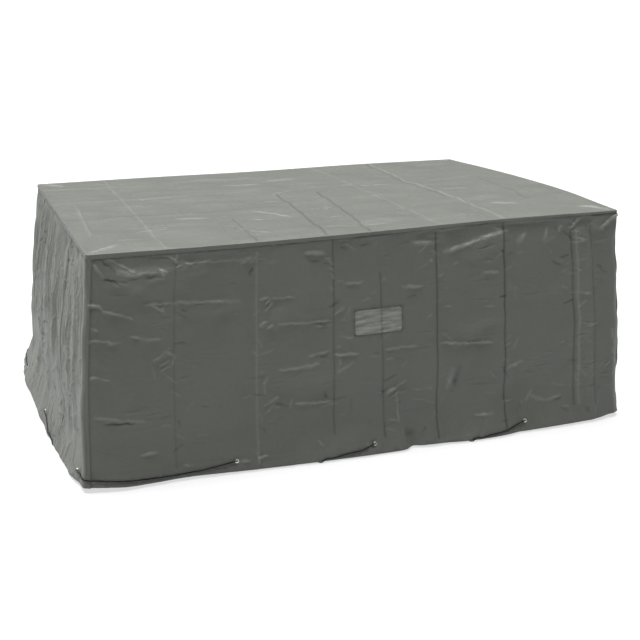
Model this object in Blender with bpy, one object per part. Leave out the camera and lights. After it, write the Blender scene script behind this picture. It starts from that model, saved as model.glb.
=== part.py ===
"""A fitted rainproof cover for an oblong set of garden furniture, as it hangs over it.

The frame is in metres with +Z up. The front faces -Y and +X runs along it to the right. The origin is the middle of the
underside of the top, where the cover rests on what it hides, and the floor is FLOOR below it.

The cover is sewn from a top with a turned-down edge and four walls. Each wall laps round the next corner, over the
start of the next wall. A label patch is sewn on the front, and one elastic cord is laced through twelve metal eyelets
in the hem. A place on the walls is given by how far it is round the top's outline, going front, right, back, left, and
how deep it is below the top's edge.
"""

import math
from bisect import bisect_right

import bmesh
import bpy
from mathutils import Matrix, Vector

# Driving dimensions
LENGTH = 2.300
WIDTH = 1.650
FLOOR = -0.933
HEM_CLEAR = 0.008  # the hem's lowest edge stays this far above the floor, with the cord slipping under it
DROP = 0.920  # depth of the walls below the top's edge, before the hem's own ups and downs
CLOTH = 0.002
HEM_CLOTH = 0.0035  # the hem is folded double
HEM_DEPTH = 0.060
SEAM_GAP = 0.0005  # between two layers that are sewn together
LAP_START = 0.012  # a wall starts this far past its corner
LAP_END = 0.024  # and ends this far past the next one
EDGE_ROUND = 0.004
EYELET_HEIGHT = 0.042  # above the hem's edge
EYELET_BORE = 0.0042
EYELET_BARREL = 0.0050
EYELET_HOLE = 0.0054
EYELET_FLANGE = 0.0088
EYELET_PLATE = 0.0009
EYELET_GAP = 0.0004  # between a plate and the cloth
EYELET_CELL = 0.030  # half the width of the flat spot round an eyelet
PUNCH_DEPTH = 0.020
CORD = 0.0045
CORD_GAP = 0.0010
PATCH = (-0.090, 0.110)  # its ends along the front
PATCH_DEPTHS = (0.315, 0.415)
PATCH_CLOTH = 0.0015

FRONT, RIGHT, BACK, LEFT = range(4)
SIDES = (  # name, direction along, direction out, half its length, half the cover across it
    ("front", (1, 0), (0, -1), LENGTH / 2, WIDTH / 2),
    ("right", (0, 1), (1, 0), WIDTH / 2, LENGTH / 2),
    ("back", (-1, 0), (0, 1), LENGTH / 2, WIDTH / 2),
    ("left", (0, -1), (-1, 0), WIDTH / 2, LENGTH / 2),
)
STARTS = (0.0, LENGTH, LENGTH + WIDTH, 2 * LENGTH + WIDTH)
ROUND = 2 * (LENGTH + WIDTH)

# Radius of each wall's first corner, mm: at the top's edge and lower down; and how far the top's edge is turned down
CORNERS = (
    (16, 26, 19),
    (12, 85, 10),
    (14, 60, 13),
    (14, 36, 16),
)
CORNER_DEPTHS = (0.03, 0.18)

# Height of the top over the origin, mm, in rows from front to back, and in each row from left to right
TOP_HEIGHTS = (
    (-9, -10, -3, 9, 9),
    (-7, -6, 0, 12, 25),
    (-6, -3, 2, 11, 25),
    (-6, -2, 3, 10, 17),
    (-8, -4, -3, 5, 5),
)

# How the walls hang: side, place along it, and in mm how far they lean out, the hem kicks out past that, and the hem's
# edge is above the lowest
HANG = (
    (FRONT, -1.150, 60, 8, 13),
    (FRONT, -0.980, 60, 31, 6),
    (FRONT, -0.760, 54, 23, 5),
    (FRONT, -0.520, 56, 36, 2),
    (FRONT, -0.230, 60, 45, 0),
    (FRONT, 0.090, 61, 50, 0),
    (FRONT, 0.200, 60, 38, 3),
    (FRONT, 0.440, 62, 53, 0),
    (FRONT, 0.700, 56, 42, 2),
    (FRONT, 0.980, 52, 38, 5),
    (RIGHT, -0.825, 48, 14, 12),
    (RIGHT, -0.500, 58, 30, 4),
    (RIGHT, -0.180, 66, 42, 1),
    (RIGHT, 0.150, 62, 30, 4),
    (RIGHT, 0.480, 60, 40, 2),
    (BACK, -1.150, 54, 16, 11),
    (BACK, -0.850, 60, 34, 4),
    (BACK, -0.480, 62, 44, 1),
    (BACK, -0.150, 56, 30, 5),
    (BACK, 0.250, 64, 46, 0),
    (BACK, 0.620, 60, 36, 3),
    (BACK, 0.900, 64, 46, 2),
    (LEFT, -0.825, 66, 46, 10),
    (LEFT, -0.640, 80, 64, 4),
    (LEFT, -0.420, 92, 66, 2),
    (LEFT, -0.150, 90, 58, 3),
    (LEFT, 0.100, 86, 52, 0),
    (LEFT, 0.380, 80, 44, 0),
    (LEFT, 0.650, 68, 34, 4),
)
LEAN_DEPTHS = (0.03, 0.80)
LEAN_BEND = 1.7
KICK_DEPTHS = (0.76, DROP)
KICK_BEND = 1.4
SLOPE_STEP = 0.010
TUCK_DEPTHS = (0.032, 0.10)  # the walls come out from under the top's edge between these depths

# Folds wide enough to see from a step away: side, place and depth of one end and of the other, width and height in mm
FOLDS = (
    (FRONT, -1.090, 0.030, -0.960, 0.120, 26, 10),
    (FRONT, -1.050, 0.100, -0.700, 0.080, 24, 7),
    (FRONT, -0.930, 0.250, -0.560, 0.235, 30, 6),
    (FRONT, -0.500, 0.100, -0.505, 0.780, 34, -6),
    (FRONT, -0.420, 0.300, -0.060, 0.250, 34, 6),
    (FRONT, -0.400, 0.560, -0.160, 0.545, 36, 7),
    (FRONT, -0.240, 0.060, -0.180, 0.860, 40, -6),
    (FRONT, 0.290, 0.060, 0.300, 0.880, 36, -7),
    (FRONT, 0.420, 0.120, 0.600, 0.050, 34, 11),
    (FRONT, 0.350, 0.420, 0.560, 0.405, 30, 7),
    (FRONT, 0.440, 0.520, 0.420, 0.700, 36, -7),
    (FRONT, 0.610, 0.050, 0.625, 0.900, 36, -8),
    (FRONT, 0.960, 0.060, 0.985, 0.860, 40, 8),
    (FRONT, 1.040, 0.100, 1.060, 0.480, 44, -14),
    (FRONT, 1.100, 0.360, 1.110, 0.700, 26, 8),
    (FRONT, 0.140, 0.870, 0.150, 0.920, 26, -20),
    (LEFT, -0.700, 0.060, -0.640, 0.800, 40, 15),
    (LEFT, -0.590, 0.050, -0.560, 0.600, 36, -17),
    (LEFT, -0.450, 0.040, -0.430, 0.500, 38, 17),
    (LEFT, -0.330, 0.050, -0.250, 0.720, 36, -15),
    (LEFT, -0.180, 0.050, -0.120, 0.420, 36, 15),
    (LEFT, -0.060, 0.060, 0.020, 0.800, 40, -15),
    (LEFT, 0.100, 0.050, 0.160, 0.560, 38, 17),
    (LEFT, 0.250, 0.060, 0.230, 0.480, 34, -14),
    (LEFT, 0.260, 0.480, 0.420, 0.800, 42, -15),
    (LEFT, 0.380, 0.050, 0.360, 0.640, 36, 15),
    (LEFT, 0.500, 0.060, 0.560, 0.780, 38, -15),
    (LEFT, 0.640, 0.040, 0.680, 0.700, 36, 14),
    (LEFT, -0.120, 0.420, -0.330, 0.800, 44, 15),
    (RIGHT, -0.620, 0.050, -0.600, 0.700, 42, -12),
    (RIGHT, -0.440, 0.050, -0.400, 0.520, 40, 12),
    (RIGHT, -0.180, 0.060, -0.230, 0.800, 46, -14),
    (RIGHT, 0.050, 0.050, 0.060, 0.560, 42, 12),
    (RIGHT, 0.300, 0.060, 0.340, 0.780, 46, -12),
    (RIGHT, 0.540, 0.040, 0.520, 0.600, 42, 12),
    (BACK, -0.960, 0.060, -0.980, 0.800, 44, -9),
    (BACK, -0.640, 0.050, -0.620, 0.760, 44, -8),
    (BACK, -0.420, 0.300, -0.120, 0.270, 40, 8),
    (BACK, -0.320, 0.060, -0.310, 0.860, 44, 8),
    (BACK, 0.010, 0.050, 0.000, 0.860, 44, -8),
    (BACK, 0.200, 0.560, 0.480, 0.590, 42, 9),
    (BACK, 0.330, 0.060, 0.320, 0.800, 44, 8),
    (BACK, 0.660, 0.050, 0.650, 0.860, 44, -9),
    (BACK, 0.980, 0.080, 0.960, 0.700, 44, 9),
)
FOLD_REACH = 3.0  # in widths: past this a fold is too low to count
FOLD_DEPTHS = (0.03, 0.08)  # the folds grow to their full height between these depths

# Eyelets: side and place along it
EYELETS = (
    (FRONT, -0.579),
    (FRONT, -0.019),
    (FRONT, 0.662),
    (RIGHT, -0.600),
    (RIGHT, 0.000),
    (RIGHT, 0.600),
    (BACK, -0.650),
    (BACK, 0.000),
    (BACK, 0.650),
    (LEFT, -0.527),
    (LEFT, 0.067),
    (LEFT, 0.727),
)

# The cord's way round: side, place along it, height over the hem's edge in mm, and the face that it lies on. At an
# eyelet it goes THROUGH the cloth, and where it slips BELOW the hem it changes face too.
OUTSIDE, INSIDE, THROUGH, BELOW = 1, -1, 0, 2
LACING = (
    (FRONT, -1.070, 25, OUTSIDE),
    (FRONT, -0.960, 21, OUTSIDE),
    (FRONT, -0.820, 15, OUTSIDE),
    (FRONT, -0.711, 20, OUTSIDE),
    (FRONT, -0.579, 42, THROUGH),
    (FRONT, -0.450, 26, INSIDE),
    (FRONT, -0.320, 14, INSIDE),
    (FRONT, -0.250, 0, BELOW),
    (FRONT, -0.150, 15, OUTSIDE),
    (FRONT, -0.077, 24, OUTSIDE),
    (FRONT, -0.019, 42, THROUGH),
    (FRONT, 0.073, 28, INSIDE),
    (FRONT, 0.145, 24, INSIDE),
    (FRONT, 0.215, 20, INSIDE),
    (FRONT, 0.320, 13, INSIDE),
    (FRONT, 0.400, 0, BELOW),
    (FRONT, 0.485, 11, OUTSIDE),
    (FRONT, 0.568, 17, OUTSIDE),
    (FRONT, 0.616, 29, OUTSIDE),
    (FRONT, 0.662, 42, THROUGH),
    (FRONT, 0.796, 26, INSIDE),
    (FRONT, 1.060, 20, INSIDE),
    (RIGHT, -0.720, 26, INSIDE),
    (RIGHT, -0.600, 42, THROUGH),
    (RIGHT, -0.420, 22, OUTSIDE),
    (RIGHT, -0.160, 24, OUTSIDE),
    (RIGHT, 0.000, 42, THROUGH),
    (RIGHT, 0.160, 24, INSIDE),
    (RIGHT, 0.440, 24, INSIDE),
    (RIGHT, 0.600, 42, THROUGH),
    (RIGHT, 0.740, 26, OUTSIDE),
    (BACK, -1.000, 20, OUTSIDE),
    (BACK, -0.800, 24, OUTSIDE),
    (BACK, -0.650, 42, THROUGH),
    (BACK, -0.500, 24, INSIDE),
    (BACK, -0.160, 24, INSIDE),
    (BACK, 0.000, 42, THROUGH),
    (BACK, 0.140, 22, OUTSIDE),
    (BACK, 0.260, 13, OUTSIDE),
    (BACK, 0.360, 0, BELOW),
    (BACK, 0.460, 16, INSIDE),
    (BACK, 0.650, 42, THROUGH),
    (BACK, 0.800, 24, OUTSIDE),
    (BACK, 1.000, 20, OUTSIDE),
    (LEFT, -0.740, 24, OUTSIDE),
    (LEFT, -0.640, 28, OUTSIDE),
    (LEFT, -0.527, 42, THROUGH),
    (LEFT, -0.380, 24, INSIDE),
    (LEFT, -0.080, 28, INSIDE),
    (LEFT, 0.067, 42, THROUGH),
    (LEFT, 0.160, 26, OUTSIDE),
    (LEFT, 0.250, 14, OUTSIDE),
    (LEFT, 0.338, 0, BELOW),
    (LEFT, 0.430, 16, INSIDE),
    (LEFT, 0.600, 26, INSIDE),
    (LEFT, 0.727, 42, THROUGH),
    (LEFT, 0.790, 36, OUTSIDE),
)
# The cord's bend beside an eyelet's middle, mm: along the cloth, and out from the cloth's middle
EYELET_BEND = ((0.6, 2.3), (1.6, 4.5), (4.2, 6.5), (11.0, 7.0), (22.0, 5.6))
INSIDE_STRIDE = 3  # inside, where it hangs clear, the cord has a point at every third column
HEM_TURN = 0.008  # half the length of the cord's half turn round the hem's edge
HEM_RISE = (0.026, 0.009)  # how far along and how high it is when clear of that turn
# The length that a row and its bends take up on either side
BEND_REACH = {THROUGH: 0.028, BELOW: 0.036, OUTSIDE: 0.010, INSIDE: 0.010}

# The walls' mesh: depths of its rows, extra columns and the widest space between columns
ROWS = (0.005, 0.030, 0.105, 0.205, *PATCH_DEPTHS, 0.530, 0.640, 0.740, 0.810, DROP - HEM_DEPTH - 0.002,
        DROP - HEM_DEPTH, DROP)
CORNER_COLUMNS = (LAP_START, LAP_END, 0.054)
MORE_COLUMNS = ((*PATCH, -1.060, 0.140, 0.180), (), (-0.722,), ())  # for each side in turn
COLUMN_STEPS = (0.075, 0.085, 0.090, 0.062)
TOP_STEPS = (0.130, 0.135)
EYELET_STEPS = 10


def blend(low, high, value):
    """0 below low, 1 above high, smooth between."""
    t = min(1.0, max(0.0, (value - low) / (high - low)))
    return t * t * (3 - 2 * t)


def rise(low, high, value):
    """0 below low, 1 above high, even between."""
    return min(1.0, max(0.0, (value - low) / (high - low)))


def cubic(values, t):
    """The smooth curve through four even values, at t from the second to the third."""
    a, b, c, d = values
    return b + 0.5 * t * (c - a + t * (2 * a - 5 * b + 4 * c - d + t * (3 * (b - c) + d - a)))


def along_round(side, along):
    """How far round the outline a place on a side is."""
    return (STARTS[side] + SIDES[side][3] + along) % ROUND


def side_at(distance):
    """The side that is this far round the outline, and the place along it."""
    distance %= ROUND
    side = bisect_right(STARTS, distance) - 1
    return side, distance - STARTS[side] - SIDES[side][3]


def hang(distance):
    """The lean, kick and hem height this far round the outline, in metres."""
    places = [along_round(row[0], row[1]) for row in HANG]
    last = bisect_right(places, distance % ROUND) - 1
    here, following = places[last], places[(last + 1) % len(HANG)]
    t = (distance % ROUND - here) / ((following - here) % ROUND)
    near = [HANG[(last + step) % len(HANG)] for step in (-1, 0, 1, 2)]
    return [cubic([row[column] for row in near], t) / 1000 for column in (2, 3, 4)]


def top_height(x, y):
    """Height of the top's outer face over the origin."""
    columns = len(TOP_HEIGHTS[0]) - 1
    rows = len(TOP_HEIGHTS) - 1
    across = (x / LENGTH + 0.5) * columns
    back = (y / WIDTH + 0.5) * rows

    def through(values, place):
        cell = min(len(values) - 2, max(0, math.floor(place)))
        near = [values[min(len(values) - 1, max(0, cell + step))] for step in (-1, 0, 1, 2)]
        return cubic(near, place - cell)

    return through([through(row, across) for row in TOP_HEIGHTS], back) / 1000


def corner_radius(corner, depth):
    top, low, _ = CORNERS[corner % 4]
    return (top + (low - top) * blend(*CORNER_DEPTHS, depth)) / 1000


def fold_height(side, along, depth):
    """How far the folds lift the cloth at a place on a side."""
    height = 0.0
    place = Vector((along, depth))
    for fold_side, from_along, from_depth, to_along, to_depth, width, lift in FOLDS:
        if fold_side == side:
            start = Vector((from_along, from_depth))
            run = Vector((to_along, to_depth)) - start
            t = min(1.0, max(0.0, (place - start).dot(run) / run.length_squared))
            away = (place - start - run * t).length * 1000 / width
            if away < FOLD_REACH:
                height += lift / 1000 * math.exp(-away * away)
    return height * blend(*FOLD_DEPTHS, depth)


def flare(distance, depth):
    """How far the wall stands out past the top's outline."""
    lean, kick, _ = hang(distance)
    leaning = 1 - (1 - rise(*LEAN_DEPTHS, depth)) ** LEAN_BEND
    return lean * leaning + kick * rise(*KICK_DEPTHS, depth) ** KICK_BEND


def wall_place(distance, depth, out=0.0):
    """The point of the walls' outer face there, moved out by `out`."""
    side, along = side_at(distance)
    _, direction, outward, half, half_across = SIDES[side]
    if along < 0:
        stretched = along - along / -half * flare(STARTS[side], depth)
        corner, from_corner = side, along + half
    else:
        stretched = along + along / half * flare(STARTS[(side + 1) % 4], depth)
        corner, from_corner = side + 1, half - along
    radius = corner_radius(corner, depth)
    turn = math.radians(45) * max(0.0, 1 - from_corner / radius)
    inward = math.copysign(1, along)
    if turn > 0:
        end = half + flare(STARTS[corner % 4], depth)
        stretched = inward * (end - radius * (1 - math.sin(turn)))
    reach = half_across + flare(distance, depth) + fold_height(side, along, depth) - radius * (1 - math.cos(turn))
    slope = (flare(distance, depth) - flare(distance, depth - SLOPE_STEP)) / SLOPE_STEP
    level = out / math.hypot(1, slope)
    reach += level * math.cos(turn)
    stretched += level * inward * math.sin(turn)
    x = direction[0] * stretched + outward[0] * reach
    y = direction[1] * stretched + outward[1] * reach
    edge = top_height(*[a * along + o * half_across for a, o in zip(direction, outward)])
    hem = FLOOR + HEM_CLEAR + hang(distance)[2]
    return Vector((x, y, edge - (edge - hem) * depth / DROP + level * slope))


def fill(fixed, step):
    """The fixed places in order, with even ones between those more than a step apart."""
    fixed = sorted(fixed)
    places = []
    for here, following in zip(fixed, fixed[1:]):
        count = math.ceil((following - here) / step - 0.01)
        places += [here + (following - here) * k / count for k in range(count)]
    return places + [fixed[-1]]


def wall_columns(side):
    """How far round the outline each column of a wall is. They run past the wall's last corner."""
    half = SIDES[side][3]
    fixed = [sign * (half - space) for sign in (-1, 1) for space in CORNER_COLUMNS] + [half]
    for eyelet_side, along in EYELETS:
        if eyelet_side == side:
            fixed += [along - EYELET_CELL, along + EYELET_CELL]
    places = fill(fixed + list(MORE_COLUMNS[side]), COLUMN_STEPS[side]) + [half + LAP_START, half + LAP_END]
    return [STARTS[side] + half + place for place in places]


def tuck(columns, distance, depth):
    """How far the cloth goes in, to lie under the top's turned-down edge and under the wall before it."""
    under_top = 1 - blend(*TUCK_DEPTHS, depth)
    under_lap = 1 - blend(columns[1], columns[2], distance)
    lapping = HEM_CLOTH if depth >= DROP - HEM_DEPTH else CLOTH
    return -(CLOTH + SEAM_GAP) * under_top - (lapping + SEAM_GAP) * under_lap


def wall_points(side):
    """Rows of points on a wall's outer face, flat round each eyelet."""
    columns = wall_columns(side)
    points = [[wall_place(s, depth, tuck(columns, s, depth)) for s in columns] for depth in ROWS]
    row = len(ROWS) - 2
    for eyelet_side, along in EYELETS:
        if eyelet_side == side:
            column = bisect_right(columns, STARTS[side] + SIDES[side][3] + along) - 1
            cell = [points[row][column], points[row][column + 1], points[row + 1][column], points[row + 1][column + 1]]
            middle = sum(cell, Vector()) / 4
            across = (cell[1] - cell[0] + cell[3] - cell[2]) / 4
            down = (cell[2] - cell[0] + cell[3] - cell[1]) / 4
            points[row][column] = middle - across - down
            points[row][column + 1] = middle + across - down
            points[row + 1][column] = middle - across + down
            points[row + 1][column + 1] = middle + across + down
    return columns, points


WALLS = [wall_points(side) for side in range(4)]


def skin(distance, above, out):
    """The point `out` from the outer cloth there, at a height above the hem's edge, and the cloth's direction out."""
    distance %= ROUND
    side = side_at(distance)[0]
    if distance - STARTS[side] < LAP_END + SEAM_GAP:
        side = (side - 1) % 4
    columns, points = WALLS[side]
    if distance < columns[0]:
        distance += ROUND
    depth = min(DROP - above, DROP)
    column = min(len(columns) - 2, max(0, bisect_right(columns, distance) - 1))
    row = min(len(ROWS) - 2, bisect_right(ROWS, depth) - 1)
    across = (distance - columns[column]) / (columns[column + 1] - columns[column])
    down = (depth - ROWS[row]) / (ROWS[row + 1] - ROWS[row])
    first, low = points[row][column], points[row + 1][column + 1]
    if across > down:
        other = points[row][column + 1]
        point = first + (other - first) * across + (low - other) * down
        normal = (low - other).cross(other - first)
    else:
        other = points[row + 1][column]
        point = first + (other - first) * down + (low - other) * across
        normal = (other - first).cross(low - other)
    normal.normalize()
    if above < 0:
        down_cloth = (points[row + 1][column] - points[row][column]).normalized()
        point -= down_cloth * above
    return point + normal * out, normal


def material(name, colour, roughness, metallic=0.0):
    made = bpy.data.materials.new(name)
    made.use_nodes = True
    shader = made.node_tree.nodes["Principled BSDF"]
    shader.inputs["Base Color"].default_value = (*colour, 1.0)
    shader.inputs["Roughness"].default_value = roughness
    shader.inputs["Metallic"].default_value = metallic
    return made


def add_object(name, data, finish):
    made = bpy.data.objects.new(name, data)
    bpy.context.scene.collection.objects.link(made)
    data.materials.append(finish)
    return made


def thicken(sheet, thickness, thin=1.0, group=""):
    """Give a sheet its thickness, on its inner side."""
    solid = sheet.modifiers.new("thickness", "SOLIDIFY")
    solid.thickness = thickness
    solid.offset = -1
    solid.use_even_offset = True
    solid.vertex_group = group
    solid.thickness_vertex_group = thin


def grid_faces(rows, columns):
    """Two triangles for each cell of a grid of points, facing out where rows go down and columns go to the right."""
    faces = []
    for row in range(rows - 1):
        for column in range(columns - 1):
            first = row * columns + column
            below = first + columns
            faces += [(first, below, below + 1), (first, below + 1, first + 1)]
    return faces


def eyelet_frame(side, along):
    """The middle of the cloth at an eyelet, as a matrix whose Z points out."""
    point, normal = skin(along_round(side, along), EYELET_HEIGHT, 0.0)
    turn = normal.to_track_quat("Z", "Y").to_matrix().to_4x4()
    return Matrix.Translation(point - normal * HEM_CLOTH / 2) @ turn


def make_wall(side, finish):
    name = SIDES[side][0] + "_wall"
    columns, points = WALLS[side]
    mesh = bpy.data.meshes.new(name)
    mesh.from_pydata([p for row in points for p in row], [], grid_faces(len(ROWS), len(columns)))
    wall = add_object(name, mesh, finish)
    hem = wall.vertex_groups.new(name="hem")
    hem.add(list(range((len(ROWS) - 2) * len(columns), len(ROWS) * len(columns))), 1.0, "REPLACE")
    thicken(wall, HEM_CLOTH, CLOTH / HEM_CLOTH, "hem")

    punch_mesh = bpy.data.meshes.new(name + "_punch")
    punches = bmesh.new()
    for eyelet_side, along in EYELETS:
        if eyelet_side == side:
            bmesh.ops.create_cone(punches, cap_ends=True, segments=12, radius1=EYELET_HOLE, radius2=EYELET_HOLE,
                                  depth=PUNCH_DEPTH, matrix=eyelet_frame(side, along))
    punches.to_mesh(punch_mesh)
    punches.free()
    punch = bpy.data.objects.new(name + "_punch", punch_mesh)
    bpy.context.scene.collection.objects.link(punch)
    punch.hide_render = True
    punch.display_type = "WIRE"
    cut = wall.modifiers.new("eyelet holes", "BOOLEAN")
    cut.object = punch
    cut.operation = "DIFFERENCE"
    return wall


def make_top(finish):
    """The top: a grid inside the outline, and rings of points over its edge and down the turned-down strip."""
    lines = []
    for half, step in ((LENGTH / 2, TOP_STEPS[0]), (WIDTH / 2, TOP_STEPS[1])):
        ends = [sign * (half - space) for sign in (-1, 1) for space in (0.0, LAP_START, LAP_END)]
        lines.append(fill(ends + [0.0], step))
    across, back = lines
    grid = bmesh.new()

    def rounded(x, y, inset):
        """The point of the top for a point of the oblong, with the oblong's corners rounded."""
        corner = {(-1, -1): 0, (1, -1): 1, (1, 1): 2, (-1, 1): 3}[math.copysign(1, x), math.copysign(1, y)]
        radius = corner_radius(corner, 0.0)
        past_x = abs(x) - (LENGTH / 2 - radius)
        past_y = abs(y) - (WIDTH / 2 - radius)
        height = top_height(x, y)
        if past_x > 0 and past_y > 0:
            far, near = max(past_x, past_y), min(past_x, past_y)
            turn = math.radians(45) * near / far
            wide, narrow = far * math.cos(turn), far * math.sin(turn)
            past_x, past_y = (wide, narrow) if past_x >= past_y else (narrow, wide)
            scale = (radius - inset) / radius
            past_x, past_y = past_x * scale, past_y * scale
        else:
            past_x = min(past_x, radius - inset)
            past_y = min(past_y, radius - inset)
        x = math.copysign(LENGTH / 2 - radius + past_x, x)
        y = math.copysign(WIDTH / 2 - radius + past_y, y)
        return Vector((x, y, height))

    vertices = [[grid.verts.new(rounded(x, y, EDGE_ROUND)) for x in across] for y in back]
    for row in range(len(back) - 1):
        for column in range(len(across) - 1):
            corners = [vertices[row][column], vertices[row][column + 1],
                       vertices[row + 1][column + 1], vertices[row + 1][column]]
            grid.faces.new(corners[:3])
            grid.faces.new([corners[0], corners[2], corners[3]])

    # Once round the outline from the front's left end, with the vertex of the grid there
    rim = [(x, back[0], vertices[0][k]) for k, x in enumerate(across[:-1])]
    rim += [(across[-1], y, vertices[k][-1]) for k, y in enumerate(back[:-1])]
    rim += [(across[k], back[-1], vertices[-1][k]) for k in range(len(across) - 1, 0, -1)]
    rim += [(across[0], back[k], vertices[k][0]) for k in range(len(back) - 1, 0, -1)]
    rings = [[vertex for _, _, vertex in rim], [], []]
    lengths = [x + LENGTH / 2 for x in across[:-1]] + [LENGTH + y + WIDTH / 2 for y in back[:-1]]
    lengths += [LENGTH + WIDTH + length for length in lengths]
    for (x, y, _), length in zip(rim, lengths):
        side, along = side_at(length)
        share = along / SIDES[side][3] / 2 + 0.5
        turned = CORNERS[side][2] * (1 - share) + CORNERS[(side + 1) % 4][2] * share
        for ring, drop in ((1, EDGE_ROUND), (2, turned / 1000)):
            rings[ring].append(grid.verts.new(rounded(x, y, 0.0) - Vector((0, 0, drop))))
    for upper, lower in zip(rings, rings[1:]):
        for k in range(len(rim)):
            following = (k + 1) % len(rim)
            grid.faces.new((upper[k], lower[k], lower[following]))
            grid.faces.new((upper[k], lower[following], upper[following]))
    mesh = bpy.data.meshes.new("top_panel")
    grid.to_mesh(mesh)
    grid.free()
    top = add_object("top_panel", mesh, finish)
    thicken(top, CLOTH)
    return top


def make_patch(finish):
    """The label patch, on the front wall's own columns and rows so that it lies flat on them."""
    columns, points = WALLS[FRONT]
    first, last = [bisect_right(columns, along_round(FRONT, end) + 1e-6) - 1 for end in PATCH]
    rows = [ROWS.index(depth) for depth in PATCH_DEPTHS]
    lift = Vector(SIDES[FRONT][2]).to_3d() * (PATCH_CLOTH + SEAM_GAP)
    mesh = bpy.data.meshes.new("patch")
    mesh.from_pydata([points[row][column] + lift for row in rows for column in range(first, last + 1)], [],
                     grid_faces(len(rows), last + 1 - first))
    patch = add_object("patch", mesh, finish)
    thicken(patch, PATCH_CLOTH)
    return patch


def make_eyelet_mesh():
    """Two plates on a barrel, turned round the bore's axis."""
    half = HEM_CLOTH / 2 + EYELET_GAP + EYELET_PLATE
    profile = [
        (EYELET_BORE, -half),
        (EYELET_FLANGE, -half),
        (EYELET_FLANGE, EYELET_PLATE - half),
        (EYELET_BARREL, EYELET_PLATE - half),
        (EYELET_BARREL, half - EYELET_PLATE),
        (EYELET_FLANGE, half - EYELET_PLATE),
        (EYELET_FLANGE, half),
        (EYELET_BORE, half),
    ]
    turned = bmesh.new()
    corners = [turned.verts.new((radius, 0, z)) for radius, z in profile]
    edges = [turned.edges.new((a, b)) for a, b in zip(corners, corners[1:] + corners[:1])]
    bmesh.ops.spin(turned, geom=corners + edges, axis=(0, 0, 1), cent=(0, 0, 0), steps=EYELET_STEPS,
                   angle=math.tau, use_merge=True)
    bmesh.ops.remove_doubles(turned, verts=turned.verts, dist=0.00001)
    bmesh.ops.recalc_face_normals(turned, faces=turned.faces)
    mesh = bpy.data.meshes.new("eyelet")
    turned.to_mesh(mesh)
    turned.free()
    mesh.shade_smooth()
    mesh.set_sharp_from_angle(angle=math.radians(40))
    return mesh


def stand_off(face):
    """How far the cord's middle is from the outer face of the cloth."""
    if face == OUTSIDE:
        return CORD / 2 + CORD_GAP
    if face == INSIDE:  # clear of both layers of a lap
        return -(2 * HEM_CLOTH + SEAM_GAP + CORD / 2 + CORD_GAP)
    return -HEM_CLOTH / 2


def cord_route():
    """The cord's points, once round the hem."""
    rows = [(along_round(side, along), above / 1000, face) for side, along, above, face in LACING]
    route = []
    for k, (distance, above, face) in enumerate(rows):
        before, after = rows[k - 1], rows[(k + 1) % len(rows)]
        if face == THROUGH:
            side, along = side_at(distance)
            frame = eyelet_frame(side, along)
            middle, normal = frame.translation, frame.to_3x3().col[2]
            for beside, bend in ((before, EYELET_BEND[::-1]), (after, EYELET_BEND)):
                towards = skin(beside[0], beside[1], 0.0)[0] - middle
                towards = (towards - normal * towards.dot(normal)).normalized()
                route += [middle + towards * run / 1000 + normal * beside[2] * out / 1000 for run, out in bend]
        elif face == BELOW:
            run, height = HEM_RISE
            route.append(skin(distance - run, height, stand_off(before[2]))[0])
            for quarter in range(5):
                turn = math.radians(45) * quarter
                beside = before if quarter < 2 else after
                out = stand_off(BELOW) + (stand_off(beside[2]) - stand_off(BELOW)) * abs(math.cos(turn))
                below = -(CORD / 2 + CORD_GAP) * math.sin(turn)
                route.append(skin(distance + HEM_TURN * (quarter / 2 - 1), below, out)[0])
            route.append(skin(distance + run, height, stand_off(after[2]))[0])
        else:
            route.append(skin(distance, above, stand_off(face))[0])
        # Then a point at each column of the walls on the way to the next row, clear of the bends at either end
        start, stop = BEND_REACH[face], BEND_REACH[after[2]]
        gap = (after[0] - distance) % ROUND
        lying = after[2] if face in (THROUGH, BELOW) else face
        runs = sorted({round((column - distance) % ROUND, 6) for columns, _ in WALLS for column in columns})
        runs = [run for run in runs if start < run < gap - stop]
        for run in runs[::INSIDE_STRIDE] if lying == INSIDE else runs:
            route.append(skin(distance + run, above + (after[1] - above) * run / gap, stand_off(lying))[0])
    return route


def make_cord(finish):
    curve = bpy.data.curves.new("drawcord", "CURVE")
    curve.dimensions = "3D"
    curve.bevel_depth = CORD / 2
    curve.bevel_resolution = 2
    curve.use_fill_caps = True
    spline = curve.splines.new("POLY")
    route = cord_route()
    spline.points.add(len(route) - 1)
    for point, place in zip(spline.points, route):
        point.co = (*place, 1.0)
    spline.use_cyclic_u = True
    return add_object("drawcord", curve, finish)


def main():
    for old in list(bpy.data.objects):
        bpy.data.objects.remove(old)
    top_cloth = material("coated polyester, top", (0.115, 0.120, 0.107), 0.55)
    make_top(top_cloth)
    for side, row in enumerate(SIDES):
        make_wall(side, material("coated polyester, " + row[0], (0.115, 0.120, 0.107), 0.55))
    make_patch(material("patch cloth", (0.198, 0.204, 0.182), 0.6))
    ring = make_eyelet_mesh()
    metal = material("nickel-plated brass", (0.75, 0.75, 0.73), 0.3, 1.0)
    ring.materials.append(metal)
    for number, (side, along) in enumerate(EYELETS):
        eyelet = bpy.data.objects.new(f"eyelet_{SIDES[side][0]}_{number % 3 + 1}", ring)
        bpy.context.scene.collection.objects.link(eyelet)
        eyelet.matrix_world = eyelet_frame(side, along)
    make_cord(material("braided elastic", (0.02, 0.02, 0.02), 0.8))


main()
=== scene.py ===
"""The look of a fitted cover for garden furniture: coated polyester cloth with its packing creases, a doubled
hem, nickel eyelets, a braided elastic cord, a sewn patch and the stitching.

A place on the walls is a side, how far it is along that side from its middle, going round front, right, back,
left, and how deep it is below the top's edge. All sizes are in metres unless a name or a column says mm.
"""

import math

import bmesh
import bpy
import numpy as np
from mathutils import Matrix, Vector


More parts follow.
